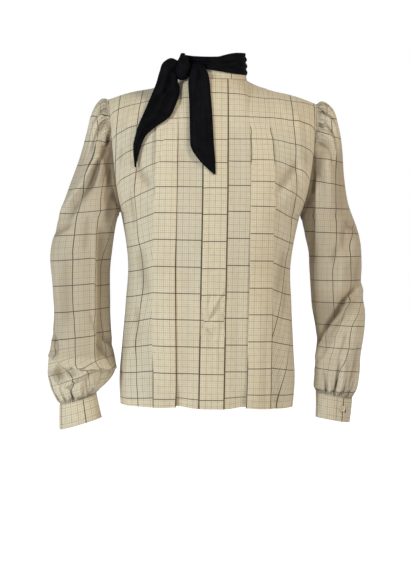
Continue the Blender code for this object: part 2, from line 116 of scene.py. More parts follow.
room = bpy.data.worlds.new("room")
bpy.context.scene.world = room
room.use_nodes = True
backdrop = room.node_tree.nodes["Background"]
backdrop.inputs["Color"].default_value = (1, 1, 1, 1)
white_when_seen(room.node_tree, backdrop.inputs["Strength"], ROOM_LIGHT)
bpy.context.scene.view_settings.view_transform = "Standard"

for name, at, size, watts, colour in LAMPS:
    lamp = bpy.data.lights.new(name, "AREA")
    lamp.shape, lamp.size, lamp.energy, lamp.color = "DISK", size, watts, colour
    box = bpy.data.objects.new(name, lamp)
    box.location = at
    box.rotation_euler = (Vector(LAMPS_AIM) - Vector(at)).to_track_quat("-Z", "Y").to_euler()
    bpy.context.collection.objects.link(box)

# ---- fronts ------------------------------------------------------------------------------------------
# The two fronts are cut from semi-sheer crepe woven in a windowpane check over a fine graph check. Each
# has one box pleat, sewn down over the chest and loose below, and a narrow turned-up hem.


class Shade:
    """A socket of a material, so that shader maths reads as Python; node() adds every other node."""

    def __init__(self, tree, socket=None):
        self.tree, self.socket = tree, socket

    def fill(self, made, sockets):
        for name, value in sockets.items():
            if isinstance(value, Shade):
                self.tree.links.new(value.socket, made.inputs[name])
            else:
                made.inputs[name].default_value = value

    def node(self, kind, settings, sockets, output=0):
        made = self.tree.nodes.new("ShaderNode" + kind)
        for name, value in settings.items():
            setattr(made, name, value)
        self.fill(made, sockets)
        return Shade(self.tree, made.outputs[output])

    def maths(self, operation, *others):
        return self.node("Math", {"operation": operation}, dict(enumerate((self, *others))))

    def __add__(self, other):
        return self.maths("ADD", other)

    def __sub__(self, other):
        return self.maths("SUBTRACT", other)

    def __rsub__(self, other):
        return self.node("Math", {"operation": "SUBTRACT"}, {0: other, 1: self})

    def __mul__(self, other):
        return self.maths("MULTIPLY", other)

    def __truediv__(self, other):
        return self.maths("DIVIDE", other)

    def __rtruediv__(self, other):
        return self.node("Math", {"operation": "DIVIDE"}, {0: other, 1: self})

    __radd__, __rmul__ = __add__, __mul__

    def noise(self, over, scale, **settings):
        return self.node("TexNoise", {}, {"Vector": over, "Scale": scale, **settings})

    def part(self, axis):
        """One axis of a vector of metres, in millimetres."""
        return self.node("SeparateXYZ", {}, {0: self}, output=axis) * 1000

    def bump(self, strength, metres):
        return self.node("Bump", {}, {"Strength": strength, "Distance": metres, "Height": self})

    def surface(self, **sockets):
        """Fills the material's own shader, whose socket names are given with _ for their spaces."""
        shader = self.tree.nodes["Principled BSDF"]
        self.fill(shader, {name.replace("_", " "): value for name, value in sockets.items()})

    def step(self, low, high, at_low=0.0, at_high=1.0):
        """A smooth step from at_low to at_high between low and high."""
        return self.node("MapRange", {"interpolation_type": "SMOOTHSTEP"}, {
            "Value": self, "From Min": low, "From Max": high, "To Min": at_low, "To Max": at_high,
        })

    def blend(self, colour, over, amount):
        """A colour laid over another by an amount."""
        return self.node("Mix", {"data_type": "RGBA"}, {0: amount, 6: over, 7: colour}, output=2)

    def threads(self, pitch, width, soft=0.25):
        """1 on thin lines every pitch, 0 between them."""
        away = ((self / pitch + 0.5).maths("FRACT") - 0.5).maths("ABSOLUTE")
        return (away * pitch).step(width / 2 - soft * width, width / 2 + soft * width, 1.0, 0.0)


WINDOW_ACROSS, WINDOW_ALONG = 48.0, 52.5  # pitch of the dark check
QUARTERS, TWELFTHS = 4, 12  # of a window, where the brown threads of the graph check lie
ONE_TURN = 6.283  # in radians
SHADED_SHEER_CREPE = (0.44, 0.37, 0.275, 1)  # sheer with nothing pale behind it, and painted shade in folds and where it is turned from the light
FOLD_SHADOW_CREPE = (0.21, 0.165, 0.11, 1)  # painted shadow deep in a fold
SINGLE_CREPE = (0.655, 0.595, 0.465, 1)
DOUBLE_CREPE = (0.715, 0.635, 0.475, 1)
DARK_THREAD = (0.070, 0.058, 0.034, 1)
BROWN_THREAD = (0.30, 0.235, 0.15, 1)
SEWING_THREAD = (0.46, 0.39, 0.27, 1)
WARM_CREPE = (0.56, 0.46, 0.30, 1)  # in uneven patches


def crepe_material(name, stitched_at):
    """Crepe with a row of stitches at a distance from the piece's finished edge.

    Places on the cloth come from UV map "cloth". Attributes give its layering with painted light and
    shade (-2 painted shadow deep in a fold, -1 sheer cloth and painted shade, 0 single, 1 double), the
    distance from the edge in millimetres, and the small folds of a gathered edge: ruffle counts them
    round it, and pull is their depth and that of the painted shade in their hollows.
    """
    crepe = new_material(name)
    start = Shade(crepe.node_tree)
    cloth = start.node("UVMap", {"uv_map": "cloth"}, {})
    across, length = cloth.part(0), cloth.part(1)
    layers_and_shading, edge, ruffle, pull = (start.node("Attribute", {"attribute_name": kind}, {}, output=2)
                                  for kind in ("layers_and_shading", "edge", "ruffle", "pull"))
    on_cloth = start.node("VectorMath", {"operation": "SCALE"}, {0: cloth, "Scale": 1000.0})
    uneven = start.noise(on_cloth, 0.012, Detail=3.0)
    slub = start.noise(on_cloth, 0.11, Detail=2.0)
    pebble = start.noise(on_cloth, 1.1, Detail=3.0, Roughness=0.65)

    # The ground: painted fold shadow at -2, sheer cloth with painted shade at -1, then single and double
    # cloth.
    ground = start.blend(SHADED_SHEER_CREPE, FOLD_SHADOW_CREPE, layers_and_shading.step(-2.0, -1.0))
    ground = start.blend(SINGLE_CREPE, ground, layers_and_shading.step(-1.0, 0.0))
    ground = start.blend(DOUBLE_CREPE, ground, layers_and_shading.step(0.0, 1.0))
    ground = start.blend(WARM_CREPE, ground, uneven.step(0.45, 0.75, 0.0, 0.3))
    tint = across.threads(WINDOW_ACROSS / TWELFTHS, 1.0) + length.threads(WINDOW_ALONG / TWELFTHS, 0.9)
    quarter = across.threads(WINDOW_ACROSS / QUARTERS, 1.1).maths(
        "MAXIMUM", length.threads(WINDOW_ALONG / QUARTERS, 1.1))
    window = across.threads(WINDOW_ACROSS, 1.8).maths("MAXIMUM", length.threads(WINDOW_ALONG, 1.8))
    worn = slub.step(0.3, 0.7, 0.6, 1.0)
    stitch = (edge - stitched_at).maths("ABSOLUTE").step(0.25, 0.5, 1.0, 0.0)
    thread = stitch * (across + length).threads(2.8, 1.9, 0.1)
    colour = start.blend(BROWN_THREAD, ground, tint * 0.34 * worn)
    colour = start.blend(BROWN_THREAD, colour, quarter * 0.62 * worn)
    colour = start.blend(DARK_THREAD, colour, window * 0.93)
    colour = start.blend(SEWING_THREAD, colour, thread * 0.7)
    small_folds = (ruffle * ONE_TURN + slub * 5.0).maths("SINE") * pull
    # Painted shade in the hollows of the small gathered folds.
    colour = start.blend(FOLD_SHADOW_CREPE, colour, (small_folds * -1).step(0.1, 1.0, 0.0, 0.55))

    relief = (pebble * 0.6 + slub * 0.4 + window * 0.3 - stitch * 0.8 + thread * 0.9) * 0.045 + small_folds
    start.surface(Base_Color=colour, Roughness=pebble.step(0.3, 0.7, 0.6, 0.78),
                  Normal=relief.bump(0.9, 0.0018), Specular_IOR_Level=0.25, Sheen_Weight=0.12,
                  Sheen_Roughness=0.5)
    return crepe


def mix(a, b, t):
    return a + (b - a) * t


def ease(t):
    """0 below 0, 1 above 1 and a smooth step between."""
    t = np.clip(t, 0, 1)
    return t * t * (3 - 2 * t)


def column(table, name):
    """One named column of a table."""
    return [row[table[0].split().index(name)] for row in table[1]]


def smooth_curve(keys, places, at):
    """Values at places, or whole rows of points, on smooth curves through the keys."""
    slopes = np.gradient(keys, places, axis=0)
    i = np.clip(np.searchsorted(places, at) - 1, 0, len(places) - 2)
    per_key = np.shape(at) + (1,) * (keys.ndim - 1)
    wide = (places[i + 1] - places[i]).reshape(per_key)
    t = (at - places[i]).reshape(per_key) / wide
    return (keys[i] * (1 + 2 * t) * (1 - t) ** 2 + slopes[i] * wide * t * (1 - t) ** 2
            + keys[i + 1] * t * t * (3 - 2 * t) + slopes[i + 1] * wide * t * t * (t - 1))


def along(table, name, at):
    """A table's value at places in its first column."""
    places = np.array(column(table, table[0].split()[0]), float)
    at = np.clip(at, places[0], places[-1])
    return smooth_curve(np.array(column(table, name), float), places, at)


def each_side(names, **rows):
    """A table for each side of the blouse, with the same named columns."""
    return {side: (names, table) for side, table in rows.items()}


# The body's sections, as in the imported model: depths at centre front and back, the side outline and the
# shoulder seams. Above CHEST_Z a row is the fraction of the way up to the neckline or shoulder.
FRONT, BACK = -1, 1
SIDES = {"right": -1, "left": 1}  # the wearer's, and the sign of x there
SEAM = 0.3  # between the edges of two pieces
CHEST_Z, UNDERARM_Z, HEM_Z, SHOULDER_Z = -150, -256, -636, -32
DEPTHS = ("z front back", [
    (-636, 128, 113),
    (-518, 127, 110),
    (-428, 126, 106),
    (-358, 126, 105),
    (-262, 127, 110),
    (-205, 124, 112),
    (-150, 112, 109),
])
OUTLINE = ("z half_width", [
    (-636, 172),
    (-588, 175),
    (-518, 171),
    (-428, 165),
    (-358, 162),
    (-308, 168),
    (-272, 175),
    (-200, 191),
    (-136, 199),
    (-98, 203),
    (-60, 206),
    (-32, 208),
])
SHOULDER = ("x z", [
    (66, 12),
    (78, 6),
    (92, 0),
    (107, -4),
    (121, -8),
    (153, -14),
    (178, -21),
    (208, -32),
])
NECK_HALF_WIDTH, NECK_FRONT, NECK_BACK, NECK_Z, BACK_NECK_RISE = 66, 68, 58, 12, 8
ARMHOLE_HALF_DEPTH, ARMHOLE_BOTTOM = 54, 71
SIDE_CURVE, ARMHOLE_CURVE, SECTION_POWER = 2.2, 1.25, 2.4
CHEST_POWERS = (1.35, 2.0)  # how roundly it rises to the neckline, at its middle and from x 80 on


def side_height(level):
    """Height of a row at the body's side."""
    return np.where(level > CHEST_Z, mix(CHEST_Z, SHOULDER_Z, level - CHEST_Z), level)


def row_side(level):
    """Half width of the body on a row, where a panel ends at the side seam or the armhole."""
    return along(OUTLINE, "half_width", side_height(level))


def body_point(x, level, face):
    """Points of the bare body at x on a row, for arrays of places."""
    x, level = np.broadcast_arrays(np.asarray(x, float), np.asarray(level, float))
    rise = np.maximum(0.0, level - CHEST_Z)
    flat = side_height(level)
    drop = np.clip((UNDERARM_Z + ARMHOLE_BOTTOM - flat) / ARMHOLE_BOTTOM, 0, 1)
    arm = np.where(flat > UNDERARM_Z, ARMHOLE_HALF_DEPTH * np.sqrt(1 - drop**2), 0.0)
    full = along(DEPTHS, "front" if face == FRONT else "back", flat)
    curve = mix(SIDE_CURVE, ARMHOLE_CURVE, arm / ARMHOLE_HALF_DEPTH)
    inward = np.maximum(0.0, 1 - np.minimum(1.0, np.abs(x) / row_side(level)) ** SECTION_POWER)
    depth = mix(arm, full, inward ** (1 / curve))
    power = mix(*CHEST_POWERS, ease((np.abs(x) - 20) / 60))
    sunk = np.maximum(0.0, 1 - rise**power) ** (1 / power)
    beside = np.abs(x) / NECK_HALF_WIDTH
    in_neck = np.sqrt(np.maximum(0.0, 1 - beside**2))
    top = (NECK_BACK if face == BACK else NECK_FRONT) * in_neck
    neck_rise = BACK_NECK_RISE if face == BACK else 0
    top_z = np.where(beside < 1, NECK_Z + neck_rise * (1 - beside**2), along(SHOULDER, "z", np.abs(x)))
    y = np.where(rise > 0, mix(top, depth, sunk), depth)
    z = np.where(rise > 0, mix(CHEST_Z, top_z, rise), level)
    return np.stack((x, face * y, z), axis=-1)


def body_normal(x, level, face):
    """Unit normals of the bare body, from small steps along it."""
    step = np.where(np.asarray(level) < CHEST_Z, 0.5, 0.004)
    across = body_point(x + 0.5, level, face) - body_point(x - 0.5, level, face)
    up = body_point(x, level, face) - body_point(x, level - step, face)
    normal = np.cross(across, up)
    normal /= np.maximum(1e-9, np.linalg.norm(normal, axis=-1, keepdims=True))
    return np.where(normal[..., 1:2] * face > 0, normal, -normal)


SKIRT_ROWS, BOTTOM_ROWS, CHEST_ROWS, TOP_ROWS = 76, 14, 7, 40
LEVELS = np.concatenate((
    np.linspace(HEM_Z, UNDERARM_Z, SKIRT_ROWS, endpoint=False),
    UNDERARM_Z + ARMHOLE_BOTTOM * (1 - np.cos(np.linspace(0, math.pi / 2, BOTTOM_ROWS))),
    np.linspace(UNDERARM_Z + ARMHOLE_BOTTOM, CHEST_Z, CHEST_ROWS + 1)[1:],
    CHEST_Z + np.sin(np.linspace(0, math.pi / 2, TOP_ROWS + 1))[1:],
))


def outward(grid, closed=False):
    """Unit normals of a grid of points."""
    across = np.roll(grid, -1, 1) - np.roll(grid, 1, 1) if closed else np.gradient(grid, axis=1)
    normals = np.cross(across, np.gradient(grid, axis=0))
    return normals / np.maximum(1e-9, np.linalg.norm(normals, axis=2, keepdims=True))


def creased(grid, table, face=0, fade=1.0, closed=False):
    """Cloth moved out or in along listed creases, each a line in the front view.

    A row holds x, z, to_x, to_z, wide, deep, sharp and sink. A crease is wide millimetres to each side, and
    sharp (1 unless given) is the share of that width that its lower side keeps. sink (0 unless given) moves
    it down as well, so that its fold hangs over.
    """
    normals = outward(grid, closed)
    facing = ease((normals[..., 1] * face + 0.35) / 0.6) if face else 1.0
    made = grid.copy()
    for row in table:
        x, z, to_x, to_z, wide, deep, sharp, sink = *row, *(1, 0)[len(row) - 6:]
        run = np.array((to_x - x, to_z - z), float)
        rel = grid[..., (0, 2)] - (x, z)
        t = np.clip(rel @ run / (run @ run), 0, 1)
        gap = rel - t[..., None] * run
        below = (run[0] * gap[..., 1] - run[1] * gap[..., 0]) * (1 if run[0] > 0 else -1) < 0
        reach = wide * np.where(below, sharp, 1.0)
        bell = np.exp(-(gap**2).sum(-1) / reach**2) * (1 - (2 * t - 1) ** 4 * 0.6) * facing * fade
        made += normals * (bell * deep)[..., None]
        made[..., 2] -= bell * sink
    return made


def mirrored(table, sign):
    """Creases placed for the wearer's left, on the side of a sign."""
    return [(sign * x, z, sign * to_x, *rest) for x, z, to_x, *rest in table]


VALLEY_SHADE, CREST_LIGHT = 0.8, 0.24  # layers taken or added where a fold is 5 mm deep or more


def shaded(layers_and_shading, grid, smooth, closed=False):
    """Painted shade in the bottoms of folds and painted light on their crests, as changes to the layering.
    """
    sunk = -((grid - smooth) * outward(smooth, closed)).sum(axis=2)
    return layers_and_shading - VALLEY_SHADE * ease(sunk / 5) + CREST_LIGHT * ease(-sunk / 5)


def select(piece):
    """Makes a piece the one that bpy.ops works on."""
    bpy.ops.object.select_all(action="DESELECT")
    bpy.context.view_layer.objects.active = piece
    piece.select_set(True)


def sheet_piece(name, grid, weave, layers_and_shading, edge, node, thickness, material, slot, closed=False, more=()):
    """A sheet of cloth through a grid of points; weave is each point's place on the uncut cloth.

    closed joins each row's end to its start, and weave then has one column more than the grid. With no
    thickness the first and last rows are filled instead, to make a solid.
    """
    rows, columns = grid.shape[:2]
    i, j = (a.ravel() for a in np.mgrid[0:rows - 1, 0:columns - (0 if closed else 1)])
    k = (j + 1) % columns
    corners = np.stack((i * columns + j, i * columns + k, (i + 1) * columns + k, (i + 1) * columns + j), 1)
    faces = corners.tolist()
    places = np.stack((weave[i, j], weave[i, j + 1], weave[i + 1, j + 1], weave[i + 1, j]), 1)
    places = places.reshape(-1, 2)
    if not thickness:
        faces += [list(range(columns))[::-1], list(range((rows - 1) * columns, rows * columns))]
        places = np.concatenate((places, weave[0, :columns][::-1], weave[-1, :columns]))
    mesh = bpy.data.meshes.new(name)
    mesh.from_pydata((grid.reshape(-1, 3) * MM).tolist(), [], faces)
    mesh.uv_layers.new(name="cloth").data.foreach_set("uv", (places * MM).ravel())
    for attribute, values in (("layers_and_shading", layers_and_shading), ("edge", edge), *more):
        values = np.broadcast_to(np.asarray(values, float), (rows, columns))
        mesh.attributes.new(attribute, "FLOAT", "POINT").data.foreach_set("value", values.ravel())
    piece = bpy.data.objects.new(name, mesh)
    bpy.context.collection.objects.link(piece)
    select(piece)
    if thickness:
        shell = piece.modifiers.new("thickness", "SOLIDIFY")
        shell.thickness, shell.offset = thickness * MM, 0
        bpy.ops.object.modifier_apply(modifier=shell.name)
    bpy.ops.object.shade_smooth_by_angle(angle=math.radians(50))
    piece.data.materials.append(material)
    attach(piece, "root")
    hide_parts(node)
    return piece


def cloth_length(grid, axis):
    """Distance along the cloth through the grid's points, from its first row or column."""
    steps = np.linalg.norm(np.diff(grid, axis=axis), axis=2)
    start = np.zeros_like(np.take(steps, [0], axis=axis))
    return np.concatenate((start, np.cumsum(steps, axis=axis)), axis=axis)


CREPE_THICKNESS = 0.5
STRIP_HALF_WIDTH = 24
PLEAT_EDGES = each_side("z inner outer", left=[
    (-640, 67.5, 116),
    (-540, 68.5, 116.5),
    (-300, 70, 117),
    (-150, 70, 117),
    (-108, 69, 113.5),
    (-82, 68, 109),
    (12, 68, 106),
], right=[
    (-640, 68.5, 111),
    (-560, 70, 112.5),
    (-440, 73.5, 115.5),
    (12, 74, 115.5),
])
UNDERLAY = 16
LAYERS_AT_HEM, LAYERS_AT_CHEST, LAYERS_AT_TOP = 2.3, 1.3, 0.42  # distance between a pleat's layers
PLEAT_SEWN_TO = -80  # the pleats are sewn down above this height
HEM_DEPTH = 15
HEM_CURVE, CURVE_BACK, CURVE_UP = 60, 7, 4.5  # the hem curves back under the recessed panels
FLAT_POINTS, ROUND_POINTS, ROUND_FROM = 9, 21, 146  # across a row past its pleat, to x 146 and on
# Side panels: sheer single cloth with painted shade, most on the wearer's right.
SIDE_PANEL_SHADE = {"right": -0.85, "left": -0.1}
SKIRT_LIGHTER, TOP_LAYERS, ARMHOLE_SHADE = 0.9, 0.6, 1.7  # the recessed panels made lighter low down, the layering over the chest, painted shade by the armhole
FRONT_CREASES = [
    (150, -300, 128, -420, 13, -3.6),
    (158, -470, 130, -610, 12, 4.0, 0.8),
    (140, -250, 152, -330, 11, 3.0),
    (126, -206, 172, -146, 13, -4.2, 0.8),
    (120, -240, 170, -200, 11, 3.4),
    (48, -330, 50, -620, 17, -3.4),
    (95, -400, 93, -640, 18, 2.8),
    (104, -470, 106, -640, 6, -1.6),
    (96, -150, 92, -300, 16, 1.6),
    (160, -50, 186, -130, 11, 3.0, 0.8),
    (176, -70, 190, -176, 8, -3.8, 0.8),
    (166, -120, 182, -210, 8, 2.6, 0.7),
    (118, -16, 150, -60, 12, 1.6),
    (44, -90, 40, -210, 14, -1.6),
]
OWN_FRONT_CREASES = dict(right=[
    (-158, -500, -158, -640, 12, 5.5, 0.7),
    (-146, -440, -150, -580, 8, -4.5, 0.8),
    (-160, -170, -144, -270, 8, 3.2, 0.7),
    (-170, -190, -152, -300, 8, -3.4, 0.8),
    (-112, -80, -116, -160, 10, -2.0),
], left=[
    (134, -560, 128, -640, 5, -4.0, 0.7),
    (166, -330, 140, -470, 9, -3.2, 0.8),
    (150, -540, 146, -640, 9, 3.2, 0.8),
    (172, -180, 150, -300, 9, -3.0, 0.8),
])
# Where the dark lines lie on each front. Beside the pleat's two edges they show or roll under by height,
# side_line is how far past the outer edge the next one is, and along_ columns move crosswise lines up.
FRONT_LINES = each_side("z base inner outer side_line along_base along_pleat along_side side_slope", left=[
    (-640, 1.5, 0.8, -0.7, -35, 4.6, 11.0, 10.5, 0.02),
    (-600, 1.5, 0.8, -0.7, -31, 5.0, 11.5, 11.5, 0.08),
    (-560, 1.5, 0.8, -0.8, -21, 5.6, 11.8, 13.0, 0.16),
    (-500, 1.5, -2.0, -0.6, -1, 5.8, 12.6, 13.0, 0.26),
    (-290, 1.5, -2.0, 1.5, 44, 6.0, 16.0, 13.0, 0.36),
    (-210, 1.5, -2.0, 1.5, 45, 5.6, 16.0, 13.0, 0.42),
    (-160, 1.5, -1.0, 1.0, 45, 4.0, 10.0, 9.0, 0.30),
    (-145, 1.5, 0.8, -0.7, 45, 3.2, 7.0, 6.0, 0.24),
    (-105, 1.5, 0.8, -0.7, 45, 1.5, 2.0, 2.0, 0.14),
    (-84, 1.5, 0.8, -0.7, 45, 0.0, 0.0, 0.0, 0.10),
    (-78, 1.5, -2.0, 1.5, 45, 0.0, 0.0, 0.0, 0.08),
    (12, 1.5, -2.0, 1.5, 45, 0.0, 0.0, 0.0, 0.02),
], right=[
    (-640, -0.9, 0.8, -0.8, 28, 0.6, -1.0, 1.0, 0.08),
    (-560, -0.9, -2.0, -0.6, 30, 0.6, 0.8, 4.0, 0.16),
    (-500, -0.9, -2.0, 1.5, 32, 1.0, 1.2, 3.5, 0.22),
    (-414, -0.9, -2.0, 1.5, 20, 1.4, 1.6, 2.0, 0.27),
    (-266, -0.9, -2.0, 1.5, 34, 1.0, 1.2, 0.5, 0.42),
    (-204, -0.9, -2.0, 1.5, 36.4, 0.8, 0.0, -1.5, 0.46),
    (-150, -0.9, -2.0, 1.5, 41, 0.0, -1.5, -4.0, 0.46),
    (-90, -0.9, -2.0, 1.5, 41, -4.0, -5.0, -8.0, 0.36),
    (-39, 0.5, -2.0, 1.5, 32, -9.0, -9.0, -12.0, 0.25),
    (12, 1.5, -2.0, 1.5, 17, -14.0, -14.0, -16.0, 0.20),
])
STRIP_LINE = 24.9  # the dark line beside the centre strip, drawn wider there as the painted shadow of the strip's edge
ALONG_START = 13.0  # the first dark line above the hem
TAKEN_UP = ("z taken", [
    (-640, 6),
    (-600, 3.5),
    (-560, 2.5),
    (-450, 1.5),
    (-400, 0),
    (-215, 0),
    (-150, -2.5),
    (-100, -10),
    (-50, -15),
    (-8, -19),
    (12, -20),
])
SIDE_SHARE = each_side(  # of the cloth's width past the pleat, where the dark lines draw together
    "z share",
    left=[(-640, 0.8), (-300, 0.8), (-210, 0.87), (-145, 0.975), (-84, 0.92), (12, 1.0)],
    right=[(-640, 0.8), (-300, 0.8), (-210, 0.9), (-145, 1.05), (-90, 1.1), (12, 1.1)],
)


def front_path(side_name, level):
    """Places and lifts across one front from its centre to its side, with the two folded edges."""
    z = np.where(level > CHEST_Z, mix(CHEST_Z, 0, np.clip(level - CHEST_Z, 0, 1)), level)
    gap = mix(LAYERS_AT_TOP, mix(LAYERS_AT_CHEST, LAYERS_AT_HEM, ease((-200 - z) / 250)),
              ease((PLEAT_SEWN_TO + 10 - z) / 70))
    inner, outer = (along(PLEAT_EDGES[side_name], name, z) for name in ("inner", "outer"))
    side = row_side(level)

    def span(start, end, count):
        return [(start + (end - start) * s / count, 0 * gap) for s in range(count)]

    def fold(edge, way):
        path = [(edge + way * x, 0 * gap) for x in (-2, 2, 8, UNDERLAY)]
        for turn in (-50, 0, 50, 90):
            a = math.radians(turn)
            path.append((edge + way * (UNDERLAY + gap / 2 * math.cos(a)), gap / 2 * (1 + math.sin(a))))
        path += [(edge + way * x, gap) for x in (UNDERLAY * 0.6, UNDERLAY * 0.3, 4)]
        for turn in (-90, -55, -20, 20, 55, 90):
            a = math.radians(turn)
            path.append((edge + way * gap / 2 * (1 - math.cos(a)), gap * (1.5 + math.sin(a) / 2)))
        return path

    path = span(SEAM / 2, STRIP_HALF_WIDTH, 6) + span(STRIP_HALF_WIDTH, inner - 2, 15)
    path += fold(inner, 1)
    path += [(mix(inner + 2.5, outer - 2.5, s / 14), 2 * gap) for s in range(15)]
    path += fold(outer, -1)[::-1]
    path += span(outer + 4, ROUND_FROM, FLAT_POINTS)
    path += [(side - (side - ROUND_FROM) * (1 - s / (ROUND_POINTS - 1)) ** 2, 0 * gap)
             for s in range(ROUND_POINTS)]
    x = np.stack([np.broadcast_to(p[0], level.shape) for p in path], axis=1)
    lift = np.stack([np.broadcast_to(p[1], level.shape) for p in path], axis=1)
    return x, lift


def front_weave(side, x, lift, grid):
    """Places on the uncut cloth, so that the dark lines run as the cloth hangs."""
    lines = FRONT_LINES[side]
    z = grid[..., 2]
    inner, outer = (along(PLEAT_EDGES[side], name, z) for name in ("inner", "outer"))
    base, first, last = (along(lines, name, z) for name in ("base", "inner", "outer"))
    on_top = lift > 0.75 * lift.max(axis=1, keepdims=True)
    beyond = (x > outer - UNDERLAY - 3) & ~on_top
    from_strip = x - STRIP_LINE
    # Beside the strip the dark line is drawn wider, as the painted shadow of the strip's edge.
    across = WINDOW_ACROSS * from_strip / (inner + base - STRIP_LINE) - np.clip(from_strip, -1, 1) * 0.5
    over_pleat = (x - inner - first) / (outer + last - inner - first)
    across = np.where(on_top, WINDOW_ACROSS * (2 + over_pleat), across)
    arc = cloth_length(grid, 1)
    past = slice(-FLAT_POINTS - ROUND_POINTS, None)
    at_edge = [np.interp(fold + 2, row[past], run[past]) for fold, row, run in zip(outer[:, -1], x, arc)]
    run_out = (arc - np.array(at_edge)[:, None]) * along(SIDE_SHARE[side], "share", z) + 2
    across = np.where(beyond, WINDOW_ACROSS * 4 + run_out - along(lines, "side_line", z), across)
    shift = along(lines, "along_base", z)
    shift = np.where(on_top, along(lines, "along_pleat", z), shift)
    out = np.maximum(0, x - outer)
    shift = np.where(beyond, along(lines, "along_side", z) - along(lines, "side_slope", z) * out, shift)
    shift = shift + along(TAKEN_UP, "taken", z)
    return np.stack((across, cloth_length(grid, 0) - shift - ALONG_START), axis=-1)


def in_hem(rows):
    """1 on the turned-up hem, 0 above it."""
    return ease((HEM_Z + HEM_DEPTH - rows) / 3)


def front_layers_and_shading(side, x, lift, rows, z, to_side):
    """Cloth layering and painted shade on a front: fewest in the sheer side panels, darkest by the armhole.
    """
    layers_and_shading = np.where(lift > 0, 1.0, SKIRT_LIGHTER * ease((-300 - z) / 140))
    layers_and_shading = np.where((x > 100) & (lift == 0), SIDE_PANEL_SHADE[side], layers_and_shading)
    layers_and_shading = mix(layers_and_shading, TOP_LAYERS, ease((z + 100) / 20))
    by_armhole = ease(1.2 - to_side * 1.2) * ease((z + 262) / 30) * ease((-90 - z) / 60)
    return np.maximum(layers_and_shading - ARMHOLE_SHADE * by_armhole, in_hem(rows))


def front_panel(side):
    """One front: its points, weave, layering with painted light and shade, and distance from the hem."""
    x, lift = front_path(side, LEVELS)
    rows = np.broadcast_to(LEVELS[:, None], x.shape)
    grid = body_point(x, rows, FRONT) + body_normal(x, rows, FRONT) * lift[..., None]
    weave = front_weave(side, x, lift, grid)
    low = ease((HEM_Z + HEM_CURVE - grid[..., 2]) / HEM_CURVE)
    curl = low * np.exp(-((np.abs(x) - 66) / 24) ** 2) * np.where(lift > 0, 0.5, 1.0)
    grid[..., 1] = np.minimum(grid[..., 1] + CURVE_BACK * curl, -SEAM / 2)
    grid[..., 2] += CURVE_UP * curl * ease((HEM_Z + HEM_CURVE - rows) / HEM_CURVE)
    to_side = (row_side(LEVELS)[:, None] - x) / 16
    layers_and_shading = front_layers_and_shading(side, x, lift, rows, grid[..., 2], to_side)
    sign = SIDES[side]
    grid, weave, layers_and_shading, edge, fade = (
        a[:, ::sign] for a in (grid * (sign, 1, 1), weave, layers_and_shading, cloth_length(grid, 0), ease(to_side)))
    made = creased(grid, mirrored(FRONT_CREASES, sign), 0, fade)
    made = creased(made, OWN_FRONT_CREASES[side], 0, fade)
    return made, weave, shaded(layers_and_shading, made, grid), edge


crepe = crepe_material("crepe", HEM_DEPTH - 1.5)
for side in SIDES:
    front = sheet_piece("front_" + side + "_cloth", *front_panel(side), "front_" + side, CREPE_THICKNESS,
                        crepe, "crepe")

# ---- back --------------------------------------------------------------------------------------------
# One piece of the same crepe, plain and without a seam down its middle. It is joined to the fronts at the
# shoulders and sides and hemmed like them.

BACK_CREASES = [
    (62, -300, 44, -610, 18, -3.2),
    (-54, -330, -66, -620, 16, -3.0),
    (2, -400, 9, -640, 20, 2.6),
    (104, -370, 120, -600, 16, 2.8, 0.8),
    (-114, -350, -104, -600, 18, 2.6, 0.8),
    (124, -226, 58, -292, 15, -2.4),
    (-130, -238, -66, -300, 14, -2.4),
    (150, -262, 92, -330, 12, 2.0),
    (-152, -270, -100, -342, 12, 2.0),
    (152, -112, 112, -196, 14, -2.2),
    (-150, -120, -106, -200, 14, -2.2),
    (60, -40, 128, -66, 12, 1.4),
    (-58, -44, -120, -64, 12, 1.4),
]
NECK_POINTS, BACK_SIDE_POINTS = 23, 34  # across half a row, to the neck's width and on to the side


def back_panel():
    side = row_side(LEVELS)
    half = [np.full(len(LEVELS), x) for x in np.linspace(0, NECK_HALF_WIDTH, NECK_POINTS)]
    half += [side - (side - NECK_HALF_WIDTH) * (1 - s / BACK_SIDE_POINTS) ** 1.5
             for s in range(1, BACK_SIDE_POINTS + 1)]
    x = np.stack(half[::-1] + [-h for h in half[1:]], axis=1)
    rows = np.broadcast_to(LEVELS[:, None], x.shape)
    grid = body_point(x, rows, BACK)
    grid[..., 1] = np.maximum(grid[..., 1], SEAM / 2)
    arc = cloth_length(grid, 1)
    weave = np.stack((arc - arc[:, len(half) - 1:len(half)] + WINDOW_ACROSS / 2,
                      cloth_length(grid, 0) - ALONG_START), axis=-1)
    fade = ease((side[:, None] - np.abs(x)) / 16)
    return creased(grid, BACK_CREASES, 0, fade), weave, in_hem(rows), cloth_length(grid, 0)


back = sheet_piece("back_cloth", *back_panel(), "back", CREPE_THICKNESS, crepe, "crepe")

# ---- centre strip ------------------------------------------------------------------------------------
# A folded strip of the crepe, two layers thick, sewn over the fronts' fastening from neck to hem. It
# strains over one hidden button.

STRIP_THICKNESS, STRIP_LIFT = 1.2, 1.9
STRIP_STOP = 0.014  # share of the rise to the neckline that it stops short of
PINCHES = (  # side, height, its reach up and down, how far the edge is drawn in
    (-1, -469, 52, 30, 7.5),
    (1, -452, 34, 44, 4),
)
PINCH_OUT = 4
STRIP_CREASES = [
    (-16, -469, 20, -404, 3.5, 4.2, 0.5),
    (-16, -466, -4, -410, 3, -3.0),
    (-16, -468, 12, -440, 3, -3.4),
    (19, -452, 5, -410, 3.5, -2.6),
    (-17, -472, 6, -482, 3, 3.6, 0.5),
    (-16, -476, 3, -496, 3, -3.2),
    (-14, -482, -8, -530, 4, 2.0, 0.8),
    (18, -462, 12, -520, 4, -1.8),
    (6, -500, 9, -570, 5, 1.4),
    (-10, -250, 12, -300, 7, 0.8),
    (12, -330, -8, -380, 8, -0.8),
]


